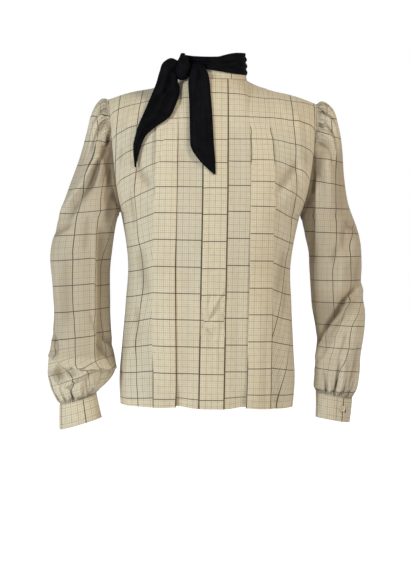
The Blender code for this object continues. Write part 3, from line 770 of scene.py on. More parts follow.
def centre_strip():
    top = CHEST_Z + 1 - STRIP_STOP
    levels = np.append(LEVELS[LEVELS < top - 0.002], top)
    rows, t = np.meshgrid(levels, np.sin(np.linspace(-1, 1, 33) * math.pi / 2), indexing="ij")
    x, pinched = t * STRIP_HALF_WIDTH, 0 * t
    for way, at, up, down, drawn in PINCHES:
        near = np.clip(1 - np.where(rows > at, (rows - at) / up, (at - rows) / down), 0, 1) ** 1.4
        pinched = np.maximum(pinched, near)
        x -= way * drawn * near * ease(t * way)
    lift = STRIP_LIFT + PINCH_OUT * pinched * (1 - t * t) - 0.8 * np.abs(t) ** 14
    grid = body_point(x, rows, FRONT) + body_normal(x, rows, FRONT) * lift[..., None]
    # The strip's own edge carries part of that dark line as painted shadow, drawn back at the pinch.
    spread = 0.505 - 0.05 * ease(pinched * 3)
    up = cloth_length(grid, 0) - ALONG_START - along(TAKEN_UP, "taken", grid[..., 2])
    weave = np.stack(((0.5 + spread * t) * WINDOW_ACROSS, up), axis=-1)
    made = creased(grid, STRIP_CREASES)
    return made, weave, shaded(1.0, made, grid), STRIP_HALF_WIDTH * (1 - np.abs(t))


band_crepe = crepe_material("band crepe", 2.2)
strip = sheet_piece("centre_strip_cloth", *centre_strip(), "placket", STRIP_THICKNESS, crepe, "crepe")

# ---- sleeves -----------------------------------------------------------------------------------------
# Each sleeve is one sheer piece with a seam under the arm, gathered into the armhole over the shoulder
# and into the cuff, where its fullness hangs over.

SLEEVE_SECTIONS = each_side("outer_x outer_z inner_x inner_z", right=[
    (223, -39, 182, -260),
    (238, -60, 185, -266),
    (250, -100, 187, -274),
    (264, -152, 189, -284),
    (281, -203, 191, -298),
    (301, -268, 194, -324),
    (317, -336, 198, -370),
    (312, -402, 197, -426),
    (308, -466, 195, -476),
    (313, -520, 190, -524),
    (318, -558, 184, -556),
    (318, -582, 186, -572),
    (310, -610, 199, -592),
    (298, -630, 216, -608),
], left=[
    (222, -32, 182, -260),
    (240, -43, 185, -266),
    (254, -76, 187, -274),
    (263, -123, 190, -285),
    (268, -175, 193, -300),
    (276, -226, 199, -326),
    (301, -296, 203, -368),
    (306, -350, 206, -410),
    (305, -402, 209, -446),
    (314, -448, 215, -478),
    (312, -486, 218, -504),
    (305, -535, 217, -540),
    (303, -572, 214, -577),
    (297, -600, 214, -596),
])
SLEEVE_FORM = ("centre_y half_depth bow", [
    (0, 57, 8),
    (0, 62, 8),
    (0, 66, 5),
    (1, 67, 2),
    (2, 66, 0),
    (3, 64, 0),
    (3, 62, 0),
    (0, 59, 0),
    (-5, 59, 0),
    (-9, 61, 0),
    (-12, 63, 0),
    (-15, 60, 0),
    (-18, 51, 0),
    (-20, 42, 0),
])
CUFF_SECTIONS = each_side(
    "outer_x outer_z inner_x inner_z",
    right=[(293, -640, 221, -617), (292, -688, 210, -662)],
    left=[(289, -620, 217, -608), (284, -666, 217, -656)],
)
CUFF_CENTRE_Y, CUFF_HALF_DEPTH = (-21, -25), 34
AROUND, SLEEVE_ROWS = 216, 224
UNDERSIDE_TURN = 113  # where a sleeve's underside starts, out of the light
# Sheer cloth on each sleeve, with more painted shade on the wearer's left, away from the key light.
SLEEVE_SHEER_AND_SHADE = {"right": -0.58, "left": -0.68}
UNDERSIDE_SHADE = {"right": 0.02, "left": -0.02}  # painted shade added on the underside
NO_STITCHES = 99.0  # a distance from the edge at which no stitches show
# Gathers round the armhole and round the cuff: turn is degrees from the outer side towards the front.
CAP_GATHERS = ("turn deep wide long", [
    (-112, 3.1, 5.0, 40),
    (-94, -3.7, 4.0, 58),
    (-78, 4.0, 4.0, 34),
    (-62, -4.0, 4.0, 66),
    (-48, 4.0, 4.0, 40),
    (-35, -4.3, 3.5, 50),
    (-22, 5.6, 3.4, 34),
    (-10, -5.6, 3.0, 44),
    (1, 6.4, 3.4, 30),
    (11, -6.4, 3.0, 40),
    (21, 6.0, 3.0, 30),
    (31, -6.7, 3.0, 62),
    (41, 6.4, 3.4, 36),
    (51, -6.4, 3.0, 54),
    (61, 5.6, 3.4, 70),
    (73, -5.6, 3.4, 56),
    (86, 3.4, 5.0, 70),
    (102, -3.1, 5.0, 50),
    (124, 2.2, 6.0, 40),
])
CUFF_GATHERS = ("turn deep wide long", [
    (-168, 1.8, 3.0, 34),
    (-148, -1.9, 3.0, 48),
    (-128, 1.9, 3.0, 32),
    (-106, -2.1, 3.0, 51),
    (-84, 1.9, 3.0, 34),
    (-60, -2.1, 3.0, 44),
    (-36, 1.9, 3.0, 32),
    (-14, -2.3, 3.0, 46),
    (6, 2.1, 2.6, 30),
    (20, -2.4, 2.6, 48),
    (34, 2.3, 2.6, 32),
    (47, -2.5, 2.6, 57),
    (60, 2.3, 2.6, 30),
    (72, -2.7, 2.6, 51),
    (85, 2.4, 3.0, 39),
    (98, -2.5, 2.6, 60),
    (111, 2.3, 2.6, 34),
    (124, -2.4, 2.6, 53),
    (138, 2.1, 3.0, 32),
    (154, -2.1, 3.0, 51),
])
SLEEVE_CREASES = dict(right=[
    (-207, -78, -226, -134, 5.5, 6.0, 0.7),
    (-225, -132, -253, -196, 6.5, 6.5, 0.6),
    (-251, -192, -298, -264, 8, 5.0, 0.7),
    (-202, -92, -218, -144, 5, -6.0),
    (-217, -140, -243, -206, 6, -7.5),
    (-242, -202, -284, -268, 7, -5.5),
    (-219, -80, -238, -134, 5, -3.0),
    (-207, -90, -220, -150, 5, -3.6, 0.8),
    (-212, -110, -226, -200, 6, 3.4, 0.7),
    (-199, -214, -206, -268, 7, -5.6),
    (-203, -170, -211, -236, 5, -4.2, 0.8),
    (-262, -216, -286, -300, 14, 3.6),
    (-268, -240, -290, -296, 8, -3.6, 0.8),
    (-318, -303, -276, -280, 7, -4.8, 0.8),
    (-246, -262, -250, -330, 8, -2.6),
    (-219, -296, -217, -420, 9, -6.5),
    (-217, -420, -216, -540, 9, -6.5),
    (-232, -290, -230, -420, 7, 3.6, 0.8),
    (-230, -420, -229, -540, 7, 3.6, 0.8),
    (-288, -350, -286, -480, 13, -2.6),
    (-224, -515, -199, -544, 5, -5.0, 0.7),
    (-213, -500, -190, -522, 5, -4.6, 0.7),
    (-236, -456, -228, -492, 5, -3.6, 0.8),
    (-310, -498, -301, -523, 5, -4.4, 0.8),
    (-301, -523, -306, -544, 5, -4.4, 0.8),
    (-296, -500, -290, -540, 8, 2.6, 0.8),
    (-314, -544, -282, -551, 7, 9.0, 0.3, 4),
    (-286, -551, -256, -555, 7, 11.0, 0.3, 6),
    (-258, -555, -222, -558, 7, 10.0, 0.3, 6),
    (-226, -558, -186, -563, 6, 8.0, 0.35, 4),
    (-304, -560, -290, -586, 7, -11.0, 0.8),
    (-290, -566, -262, -577, 7, -8.5, 0.8),
    (-312, -576, -298, -593, 4.5, 7.5, 0.45),
    (-299, -593, -281, -600, 4, 7.5, 0.4),
    (-283, -600, -258, -581, 4.5, 8.0, 0.45),
    (-260, -582, -242, -570, 4.5, 7.0, 0.45),
    (-245, -570, -206, -563, 4, 5.0, 0.45),
    (-296, -598, -284, -628, 2.5, -2.2, 0.8),
    (-276, -600, -267, -628, 2.5, -2.6, 0.8),
    (-256, -594, -254, -622, 3, 3.0, 0.8),
    (-243, -584, -240, -615, 3, -3.6, 0.8),
    (-232, -580, -226, -608, 3, 2.8, 0.8),
    (-221, -598, -200, -573, 3, -4.0, 0.8),
], left=[
    (209, -42, 226, -56, 3.5, -3.8, 0.8),
    (212, -50, 230, -66, 3.5, 3.4, 0.7),
    (205, -62, 217, -81, 3.5, -3.8, 0.8),
    (214, -66, 228, -88, 4, 3.2, 0.7),
    (202, -78, 210, -104, 4, 3.0, 0.8),
    (199, -96, 201, -224, 5, -4.6, 0.8),
    (207, -110, 208, -330, 5, 3.4, 0.8),
    (200, -224, 205, -342, 7, -5.0),
    (228, -110, 234, -250, 12, 2.6),
    (254, -130, 256, -250, 11, -2.8),
    (277, -283, 267, -262, 5, -3.8, 0.8),
    (293, -288, 278, -272, 5, -4.0, 0.8),
    (286, -300, 276, -346, 8, 3.6, 0.8),
    (266, -270, 262, -320, 7, -3.4, 0.8),
    (249, -316, 241, -352, 6, -4.0, 0.8),
    (262, -330, 256, -410, 8, 3.0),
    (296, -340, 290, -390, 7, -3.2, 0.8),
    (302, -394, 272, -424, 5, 7.5, 3.2),
    (275, -421, 259, -446, 4, 7.5, 3.6),
    (261, -444, 241, -476, 4, 7.5, 3.8),
    (243, -474, 229, -500, 4, 7.0, 3.6),
    (231, -496, 216, -545, 4, 6.0, 3.0),
    (290, -398, 264, -426, 6, -7.5, 0.8),
    (266, -422, 251, -448, 6, -8.5, 0.8),
    (253, -444, 233, -476, 6, -8.5, 0.8),
    (235, -472, 219, -506, 5, -7.0, 0.8),
    (268, -453, 250, -480, 3.5, -3.6, 0.8),
    (252, -478, 232, -520, 3.5, -4.2, 0.8),
    (232, -519, 222, -542, 3.5, -4.2, 0.8),
    (270, -486, 252, -540, 5, -3.6, 0.8),
    (262, -500, 246, -548, 5, 3.0, 0.8),
    (200, -430, 209, -455, 4, -4.0, 0.8),
    (209, -455, 215, -496, 4, -4.2, 0.8),
    (290, -440, 284, -520, 10, 2.6),
    (296, -500, 290, -556, 7, -3.0, 0.8),
    (227, -560, 234, -603, 3, -3.4, 0.8),
    (242, -556, 240, -604, 3, 2.8, 0.8),
    (257, -540, 250, -604, 3, -3.6, 0.8),
    (268, -530, 262, -604, 3.5, 3.0, 0.8),
    (289, -546, 276, -606, 3, -4.2, 0.8),
    (298, -560, 288, -602, 3, 3.0, 0.8),
])
FOLD_CREST = ((-266, -300), (-194, -252), (-134, -225), (-81, -207))  # z and x of the right arm's long fold
HIDDEN_SLEEVE_CREASES = [
    (214, -96, 238, -190, 10, 3.0, 0.8),
    (246, -120, 262, -230, 12, -2.6),
    (300, -300, 250, -330, 8, -3.4, 0.8),
    (296, -340, 240, -362, 9, 3.0, 0.8),
    (236, -380, 244, -500, 14, 2.6),
    (270, -400, 262, -520, 12, -2.8),
    (300, -500, 260, -556, 9, -3.4, 0.8),
    (292, -556, 222, -566, 8, 4.0, 0.5, 3),
    (280, -586, 226, -578, 6, -4.0, 0.8),
]
# Heights of the dark crosswise lines on each sleeve, how far they rise towards the body, and how far they
# drop on the underside, past the fold along the arm.
CROSS_LINES = each_side("z count rise drop", right=[
    (-690, 14, 0.2, 0),
    (-640, 12.9, 0.3, 0),
    (-604, 12.45, 0.45, 0),
    (-579, 12, 0.45, 0),
    (-556, 11, 0.33, 0),
    (-502.5, 10, 0.14, -5),
    (-450.5, 9, 0.12, 0),
    (-399.5, 8, 0.1, 5.5),
    (-349, 7, 0.1, 6),
    (-300.5, 6, 0.08, 0),
    (-255, 5, 0.12, 0),
    (-208, 4, 0.12, 0),
    (-162, 3, 0.08, 0),
    (-116, 2, 0.04, 0),
    (-66, 1, 0.04, 0),
    (-16, 0, 0.04, 0),
    (34, -1, 0.04, 0),
], left=[
    (-650, 13, 0.05, 0),
    (-604, 12, 0.05, 0),
    (-561.6, 11, 0.07, 0),
    (-516.8, 10, 0.04, 0),
    (-472.3, 9, 0.03, 0),
    (-427.1, 8, 0.0, 0),
    (-383, 7, -0.02, 0),
    (-335.7, 6, -0.02, 0),
    (-288.4, 5, 0.02, 0),
    (-240, 4, 0.02, 0),
    (-190.5, 3, 0.14, 0),
    (-144.3, 2, 0.13, 0),
    (-95.2, 1, 0.26, 0),
    (-50, 0, 0.8, 0),
    (0, -1, 0.9, 0),
])
# Places round each sleeve of its dark lengthwise lines, in degrees, by height.
FIRST_LINE = {"right": -1, "left": -2}
LENGTHWISE_LINES = each_side("z first second third fourth", right=[
    (-640, 80, 124, 138, 150),
    (-612, 79, 122, 138, 150),
    (-585, 78, 107, 130, 148),
    (-565, 56, 96, 122, 146),
    (-552, 40, 80, 113, 142),
    (-541, 34, 78, 112, 141),
    (-504, 21, 76, 112, 138),
    (-450, 12, 71, 115, 133),
    (-400, 8, 71, 116, 135),
    (-346, 6, 73, 117, 137),
    (-300, 4, 69, 112, 146),
    (-249, 2, 65, 107, 152),
    (-210, 0, 67, 112, 158),
    (-167, -3, 75, 128, 162),
    (-118, -3, 83, 150, 168),
    (-53, -3, 69, 160, 172),
], left=[
    (-640, 98, 124, 142, 160),
    (-599, 98, 124, 142, 160),
    (-580, 97, 124, 140, 159),
    (-561, 92, 123, 138, 158),
    (-539, 81, 120, 136, 158),
    (-517, 75, 113, 132, 158),
    (-492, 75, 108, 126, 158),
    (-470, 69, 96, 116, 158),
    (-444, 50, 86, 108, 158),
    (-425, 35, 73, 106, 158),
    (-394, 15, 62, 104, 157),
    (-364, 5, 62, 104, 156),
    (-335, -5, 64, 97, 154),
    (-307, -15, 60, 91, 148),
    (-288, -25, 46, 87, 140),
    (-265, -40, 20, 80, 133),
    (-239, -52, 0, 74, 128),
    (-191, -60, -12, 72, 138),
    (-144, -62, -14, 71, 150),
    (-100, -62, -14, 72, 172),
    (-60, -62, -10, 78, 174),
])


def lengthwise(side, z, turn):
    """How many dark lengthwise lines each point is past the first, at heights and turns in degrees."""
    names = LENGTHWISE_LINES[side][0].split()[1:]
    places = [-180.0] + [along(LENGTHWISE_LINES[side], name, z) for name in names] + [180.0]
    steps = [4.2, 1, 1, 1, 1]
    count = FIRST_LINE[side] - steps[0]
    for start, end, step in zip(places, places[1:], steps):
        count = count + step * np.clip((turn - start) / (end - start), 0, 1)
    return count


def section(outer_x, outer_z, inner_x, inner_z, centre_y, half_depth, turn):
    """Points of a sleeve's oval section, at turns in radians."""
    out = 0.5 + 0.5 * np.cos(turn)
    y = centre_y - half_depth * np.sin(turn)
    return np.stack((mix(inner_x, outer_x, out), y, mix(inner_z, outer_z, out)), axis=-1)


def armhole_ring(turn):
    """The armhole's edge at turns in radians, 0 at the shoulder and growing to the front."""
    level = LEVELS[SKIRT_ROWS:][::-1]
    edge = body_point(row_side(level), level, FRONT)
    middle, reach = (SHOULDER_Z + UNDERARM_Z) / 2, (SHOULDER_Z - UNDERARM_Z) / 2
    at = np.arctan2(-edge[:, 1] / ARMHOLE_HALF_DEPTH, (edge[:, 2] - middle) / reach)
    ring = np.stack([np.interp(np.abs(turn), at, edge[:, i]) for i in range(3)], axis=-1)
    return ring * np.stack((np.ones_like(turn), np.where(turn < 0, -1, 1), np.ones_like(turn)), axis=-1)


def gathered(turn, away, table):
    """Offsets of the small folds that spread from a gathered edge."""
    offset = np.zeros(np.broadcast_shapes(turn.shape, away.shape))
    for at, deep, wide, long in table[1]:
        gap = (turn - math.radians(at) + math.pi) % (2 * math.pi) - math.pi
        offset += deep * np.exp(-(gap * 60 / wide) ** 2) * np.exp(-(away / long) ** 2) * ease(away / 9)
    return offset


def sleeve_form(side, turn):
    """A sleeve without its folds, as on the wearer's left, with its rows' distances from cap and cuff."""
    ring = armhole_ring(turn)
    keys = [ring + (0.9, 0, 0), ring + (3.4, 0, 0)]
    for edges, (centre_y, half_depth, bow) in zip(SLEEVE_SECTIONS[side][1], SLEEVE_FORM[1]):
        keys.append(section(*edges, centre_y, half_depth, turn))
        keys[-1][:, 0] += bow * np.sin(turn) ** 2
    outer_x, outer_z, inner_x, inner_z = CUFF_SECTIONS[side][1][0]
    for up in (4.0, 0.3):
        keys.append(section(outer_x, outer_z + up, inner_x, inner_z + up, CUFF_CENTRE_Y[0],
                            CUFF_HALF_DEPTH, turn))
    keys = np.array(keys)
    places = np.append(0, np.cumsum(np.linalg.norm(np.diff(keys, axis=0), axis=2).mean(axis=1)))
    t = np.linspace(0, 1, SLEEVE_ROWS)
    from_cap = (t + 0.5 * (t - t * t) * (2 * t - 1)) * places[-1]  # its rows are closest at the two ends
    return smooth_curve(keys, places, from_cap), from_cap[:, None], places[-1] - from_cap[:, None]


def sleeve_weave(side, form, turns):
    """Places on the uncut cloth, from where in the width of the sleeve the front view shows each point."""
    x, z = (np.append(form[..., i], form[:, :1, i], axis=1) for i in (0, 2))
    edges = [(209, -31, 180, UNDERARM_Z), *SLEEVE_SECTIONS[side][1], CUFF_SECTIONS[side][1][0]]
    edges = np.array(edges[::-1], float)
    outer = np.interp(z, edges[:, 1], edges[:, 0])
    at_body = along(OUTLINE, "half_width", z) + 1
    inner = np.where(z > UNDERARM_Z, at_body, np.interp(z, edges[:, 3], edges[:, 2]))
    middle = (outer + inner) / 2
    share = (x - middle) / np.maximum(4, (outer - inner) / 2)
    seen = np.degrees(np.arccos(np.clip(share, -1, 1)))
    seen = mix(seen, np.abs(np.degrees(turns)), ease((np.abs(share) - 0.88) / 0.1)) * np.sign(turns)
    lines = CROSS_LINES[side]
    level = z + along(lines, "rise", z) * (x - middle)
    level += along(lines, "drop", z) * ease((seen - UNDERSIDE_TURN) / 5)
    up = along(lines, "count", level) * WINDOW_ALONG
    return np.stack((lengthwise(side, z, seen) * WINDOW_ACROSS, up), axis=-1)


def sleeve_layers_and_shading(side, smooth, turn, from_cap):
    """Cloth layering with painted light and shade: more at the cap, less by the underarm and beside long
    folds.
    """
    degrees = np.degrees(turn)
    x, y, z = np.moveaxis(smooth, -1, 0)
    underside = ease((np.abs(degrees) - UNDERSIDE_TURN + 6) / 12)
    # The gathered cap is painted lighter; below z -100 the armhole gets painted shade.
    cap = ease(1.25 - from_cap / 70) * ease((75 - np.abs(degrees + 5)) / 30)
    layers_and_shading = SLEEVE_SHEER_AND_SHADE[side] + 0.75 * cap + UNDERSIDE_SHADE[side] * underside
    layers_and_shading = layers_and_shading - 1.3 * ease(1.4 - from_cap / 23) * ease((-100 - z) / 50)
    # Left: painted shade inside the arm's long fold, painted light outside it.
    if side == "left":
        beside = 302 + 0.57 * (z + 394) - x  # how far inside the arm's long fold
        fold_light_and_shade = (0.35 * ease(-beside / 14) - 0.65 * ease(beside / 10)) * ease((-396 - z) / 40)
    else:
        # Right: painted shadow beside the long fold and in a pocket, painted light on the bag above the
        # cuff.
        past = x - np.interp(z, *zip(*FOLD_CREST))
        shadow = ease(past / 6) * ease((40 - past) / 26) * ease((-84 - z) / 20) * ease((z + 262) / 40)
        pocket_shadow = np.exp(-((x + 305) / 7) ** 2 - ((z + 577) / 11) ** 2)
        fold_light_and_shade = 0.9 * ease((-536 - z) / 24) - 1.0 * pocket_shadow - 0.6 * shadow
    return layers_and_shading + fold_light_and_shade * (y < 0)


def sleeve(side):
    """A sleeve's points, weave, layers and edge, and its small folds' count and depth."""
    sign = SIDES[side]
    turns = np.radians(np.linspace(-180, 180, AROUND + 1) * sign)
    turn = turns[:-1]
    form, from_cap, to_cuff = sleeve_form(side, turn)
    weave = sleeve_weave(side, form, turns)
    folds = gathered(turn, from_cap, CAP_GATHERS) + gathered(turn, to_cuff, CUFF_GATHERS)
    smooth = form * (sign, 1, 1)
    grid = (form + outward(form, True) * folds[..., None] * sign) * (sign, 1, 1)
    fade = ease(from_cap / 12) * ease(to_cuff / 10)
    grid = creased(grid, SLEEVE_CREASES[side], FRONT, fade, True)
    grid = creased(grid, mirrored(HIDDEN_SLEEVE_CREASES, sign), BACK, fade, True)
    layers_and_shading = shaded(sleeve_layers_and_shading(side, smooth, turn, from_cap), grid, smooth, True)
    uneven = 0.75 + 0.25 * np.sin(5 * turn + 1) * np.sin(11 * turn)
    pull = np.exp(-(from_cap / (26 * uneven)) ** 2) * ease((88 - np.abs(np.degrees(turn))) / 38)
    pull = np.maximum(pull, np.exp(-(to_cuff / (22 * uneven)) ** 2))
    pull *= ease(from_cap / 4) * ease(to_cuff / 2)
    ruffle = turn * np.where(from_cap < to_cuff, 14.5, 9.0)
    return (grid, weave, layers_and_shading, NO_STITCHES), (("ruffle", ruffle), ("pull", pull))


for side in SIDES:
    form, small_folds = sleeve(side)
    cloth = sheet_piece("sleeve_" + side + "_cloth", *form, "sleeve_" + side, CREPE_THICKNESS,
                        crepe, "crepe", True, small_folds)

# ---- cuffs -------------------------------------------------------------------------------------------
# Doubled bands of the crepe round the gathered sleeve ends, stitched along their edges. The end of each
# laps over its start and buttons there.

CUFF_LAP_END, CUFF_LAP, CUFF_LAP_LIFT = {"left": 84, "right": -20}, 22, 2.4
CUFF_THICKNESS, CUFF_DEEP = 1.4, 48
CUFF_LINE = {"right": -256, "left": 66}  # degrees round, where a dark lengthwise line lies
MM_A_DEGREE = {"right": 0.61, "left": 0.541}
# Layering of the doubled bands, painted darker on the wearer's left, away from the key light.
CUFF_SHADING = {"right": 0.7, "left": -0.35}


def cuff_point(side, down, turn, lift):
    """A cuff's points: down is 0 at its top and 1 at its bottom, turn in degrees, lift off its surface."""
    top, bottom = (np.array(row, float) for row in CUFF_SECTIONS[side][1])
    x_out, z_out, x_in, z_in = (mix(top[i], bottom[i], down) for i in range(4))
    half = np.hypot(x_out - x_in, z_out - z_in) / 2
    reach = 1 + lift / half
    share = 0.5 + 0.5 * np.cos(np.radians(turn)) * reach
    y = mix(*CUFF_CENTRE_Y, down) - (CUFF_HALF_DEPTH + lift) * np.sin(np.radians(turn))
    return np.stack((mix(x_in, x_out, share), y, mix(z_in, z_out, share)), axis=-1)


def cuff(side):
    lap_end = CUFF_LAP_END[side]
    turn = np.linspace(lap_end - CUFF_LAP - 360, lap_end, 181)[::SIDES[side]]
    down, turn = np.meshgrid(np.linspace(0, 1, 17), turn, indexing="ij")
    lift = CUFF_LAP_LIFT * ease((turn - lap_end + CUFF_LAP + 20) / 18)
    wave = 0.5 * np.sin(np.radians(turn * 3 + 40)) * np.sin(math.pi * down)
    wave += 0.35 * np.cos(np.radians(turn * 5))
    grid = cuff_point(side, down, turn, lift + wave * ease((lap_end - 62 - turn) / 20))
    across = (turn - CUFF_LINE[side]) * MM_A_DEGREE[side]
    weave = np.stack((across, 5 + (1 - down) * CUFF_DEEP * 0.85), axis=-1)
    edge = np.minimum(np.minimum(down, 1 - down) * CUFF_DEEP, (lap_end - turn) * MM_A_DEGREE[side])
    return grid * (SIDES[side], 1, 1), weave, CUFF_SHADING[side], edge


for side in SIDES:
    band = sheet_piece("cuff_" + side + "_cloth", *cuff(side), "cuff_" + side, CUFF_THICKNESS, band_crepe,
                       "crepe")

# ---- cuff buttons ------------------------------------------------------------------------------------
# Turned buttons of cream plastic with a dished face and four holes, sewn on the cuffs' laps. The left one
# shows beside its buttonhole of dark thread, which also stands for the button's painted shadow.

BUTTON_RADIUS, BUTTON_THICK = 5.5, 2.4
BUTTON_DOWN, BUTTON_BACK, BUTTON_LIFT = 0.45, 16, 3.9
BUTTON_CREAM, BUTTON_STREAK = (0.66, 0.57, 0.41, 1), (0.56, 0.47, 0.32, 1)
BUTTON_TURNING = ((1.1, 0.15), (0.5, 0.55))  # the rim, then the dish: how far in and how far down
BUTTON_BEVEL = 0.3
DRILL_RADIUS, DRILL_OUT = 0.55, 1.15

button_plastic = new_material("button plastic")
plain = Shade(button_plastic.node_tree)
grain = plain.noise(plain.node("TexCoord", {}, {}, output=3), 420.0, Detail=2.0)
streaked = plain.blend(BUTTON_CREAM, BUTTON_STREAK, grain.step(0.35, 0.65))
plain.surface(Base_Color=streaked, Roughness=grain.step(0.3, 0.7, 0.26, 0.4))

for side, sign in SIDES.items():
    at = CUFF_LAP_END[side] - BUTTON_BACK
    seat, onward, above, out = (cuff_point(side, BUTTON_DOWN - d, at + a, lift) for d, a, lift in
                                ((0, 0, 0), (0, 1, 0), (0.2, 0, 0), (0, 0, 1)))
    seat, onward, up, out = (Vector(p * (sign, 1, 1))
                             for p in (seat, onward - seat, above - seat, out - seat))
    axis = onward.cross(up).normalized()
    axis = axis if axis.dot(out) > 0 else -axis
    up = (up - axis * up.dot(axis)).normalized()
    bpy.ops.object.select_all(action="DESELECT")
    bpy.ops.mesh.primitive_cylinder_add(vertices=40, radius=BUTTON_RADIUS * MM, depth=BUTTON_THICK * MM)
    disc = bpy.context.object
    disc.name = "cuff_button_" + side + "_turned"
    bpy.ops.object.mode_set(mode="EDIT")
    bpy.ops.mesh.select_mode(type="FACE")
    bpy.ops.mesh.select_all(action="DESELECT")
    bpy.ops.object.mode_set(mode="OBJECT")
    for face in disc.data.polygons:
        face.select = face.normal.z > 0.9
    bpy.ops.object.mode_set(mode="EDIT")
    for inset, down in BUTTON_TURNING:
        bpy.ops.mesh.inset(thickness=inset * MM)
        bpy.ops.transform.translate(value=(0, 0, -down * MM))
    bpy.ops.object.mode_set(mode="OBJECT")
    rounded = disc.modifiers.new("rounded", "BEVEL")
    rounded.width, rounded.segments, rounded.limit_method = BUTTON_BEVEL * MM, 2, "ANGLE"
    bpy.ops.object.modifier_apply(modifier=rounded.name)
    drills = []
    for x, y in ((-1, -1), (1, -1), (-1, 1), (1, 1)):
        bpy.ops.object.select_all(action="DESELECT")
        bpy.ops.mesh.primitive_cylinder_add(vertices=12, radius=DRILL_RADIUS * MM, depth=4 * MM,
                                            location=(x * DRILL_OUT * MM, y * DRILL_OUT * MM, 0))
        drills.append(bpy.context.object)
        hole = disc.modifiers.new("hole", "BOOLEAN")
        hole.object, hole.operation, hole.solver = drills[-1], "DIFFERENCE", "EXACT"
    select(disc)
    for hole in list(disc.modifiers):
        bpy.ops.object.modifier_apply(modifier=hole.name)
    for drill in drills:
        bpy.data.objects.remove(drill)
    centre = (seat + axis * (BUTTON_LIFT + BUTTON_THICK / 2)) * MM
    turned = Matrix((up.cross(axis), up, axis)).transposed().to_4x4()
    disc.matrix_world = Matrix.Translation(centre) @ turned
    bpy.ops.object.transform_apply(location=True, rotation=True, scale=True)
    bpy.ops.object.shade_smooth_by_angle(angle=math.radians(40))
    disc.data.materials.append(button_plastic)
    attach(disc, "root")
    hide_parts("cuff_button_" + side)

# The worked buttonhole beside the left button, a slim eye of dark thread that is also its painted shadow.
HOLE_TURN, HOLE_FROM, HOLE_TO, HOLE_LIFT = 57, 0.38, 0.62, 3.3
HOLE_HALF_WIDTH, HOLE_RISE = 1.9, 0.4  # in degrees and in millimetres
THREAD_BROWN, THREAD_DEEP = (0.075, 0.045, 0.026, 1), (0.030, 0.018, 0.011, 1)

dark_thread_and_shadow = new_material("dark thread and shadow")
twisted = Shade(dark_thread_and_shadow.node_tree)
stitches = twisted.node("TexCoord", {}, {}, output=3).part(2).threads(0.6, 0.3)
twisted.surface(Base_Color=twisted.blend(THREAD_BROWN, THREAD_DEEP, stitches), Roughness=0.6,
                Normal=stitches.bump(0.4, 0.0003))

down, across = np.meshgrid(np.linspace(HOLE_TO, HOLE_FROM, 25), np.linspace(-1, 1, 7), indexing="ij")
along_eye = (down - (HOLE_FROM + HOLE_TO) / 2) / (HOLE_TO - HOLE_FROM) * 2
slim = np.sqrt(np.maximum(0.02, 1 - along_eye**2))
eye = cuff_point("left", down, HOLE_TURN - HOLE_HALF_WIDTH * across * slim,
                 HOLE_LIFT + HOLE_RISE * (1 - across**2) * slim)
sheet_piece("buttonhole_left_stitches_and_shadow", eye, np.zeros((25, 7, 2)), 0.0, NO_STITCHES, "cuff_left", 0.5,
            dark_thread_and_shadow, "button")

# ---- neckband ----------------------------------------------------------------------------------------
# A narrow stand collar of doubled crepe, sewn round the neckline and open at the centre front. It is
# mostly under the tie.

NECKBAND_TOP, NECKBAND_LEAN, NECKBAND_THICKNESS, NECKBAND_HIGH = 42, 2.5, 1.4, 30
NECKBAND_LINE = 33  # distance of its dark line from the centre front


def neckband():
    gap = math.degrees(SEAM / NECK_FRONT)
    t, turn = np.meshgrid(np.linspace(0, 1, 15), np.radians(np.linspace(gap, 360 - gap, 181)),
                          indexing="ij")
    behind = 0.5 - 0.5 * np.cos(turn)
    depth = mix(NECK_FRONT, NECK_BACK, ease(behind)) - NECKBAND_LEAN * 0.6 * t
    z = mix(NECK_Z + 0.3 + BACK_NECK_RISE * np.minimum(0, np.cos(turn)) ** 2, NECKBAND_TOP + 4 * behind, t)
    flare = 1.8 * (1 - t) ** 4
    half_width = NECK_HALF_WIDTH - NECKBAND_LEAN * t + flare
    grid = np.stack((half_width * np.sin(turn), -(depth + flare) * np.cos(turn), z), axis=-1)
    arc = cloth_length(grid, 1)
    weave = np.stack((arc - NECKBAND_LINE, 8 + NECKBAND_HIGH * t), axis=-1)
    edge = np.minimum(np.minimum(t, 1 - t) * NECKBAND_HIGH, np.minimum(arc, arc[:, -1:] - arc))
    return grid, weave, 1.0, edge


collar = sheet_piece("neckband_cloth", *neckband(), "neckband", NECKBAND_THICKNESS, band_crepe, "crepe")

# ---- neck tie ----------------------------------------------------------------------------------------
# One long doubled strip of black crepe tied round the neckband: its stretch round the neck lies in soft
# folds, the knot sits on the wearer's right, and two ends hang from it over the fronts.

TIE_THICKNESS = 0.9
TIE_BLACK, TIE_SHEEN = (0.0018, 0.0018, 0.0028, 1), (0.0042, 0.0042, 0.006, 1)


def tie_material():
    made = new_material("black crepe")
    start = Shade(made.node_tree)
    cloth = start.node("UVMap", {"uv_map": "cloth"}, {})
    on_cloth = start.node("VectorMath", {"operation": "SCALE"}, {0: cloth, "Scale": 1000.0})
    pebble = start.noise(on_cloth, 1.3, Detail=3.0, Roughness=0.7)
    uneven = start.noise(on_cloth, 0.05, Detail=2.0)
    start.surface(Base_Color=start.blend(TIE_SHEEN, TIE_BLACK, uneven.step(0.3, 0.7)),
                  Roughness=pebble.step(0.3, 0.7, 0.55, 0.75), Normal=pebble.bump(0.2, 0.0004),
                  Specular_IOR_Level=0.06)
    return made


TIE_RING = (67.6, 70.6, 60.6)  # half width, front and back of its ring
BAND_EDGES = ("turn low high", [
    (0, 27, 54),
    (30, 23, 63),
    (70, 22.4, 66),
    (180, 27, 62),
    (290, 24.3, 60),
    (330, 31, 55),
    (360, 27, 54),
])
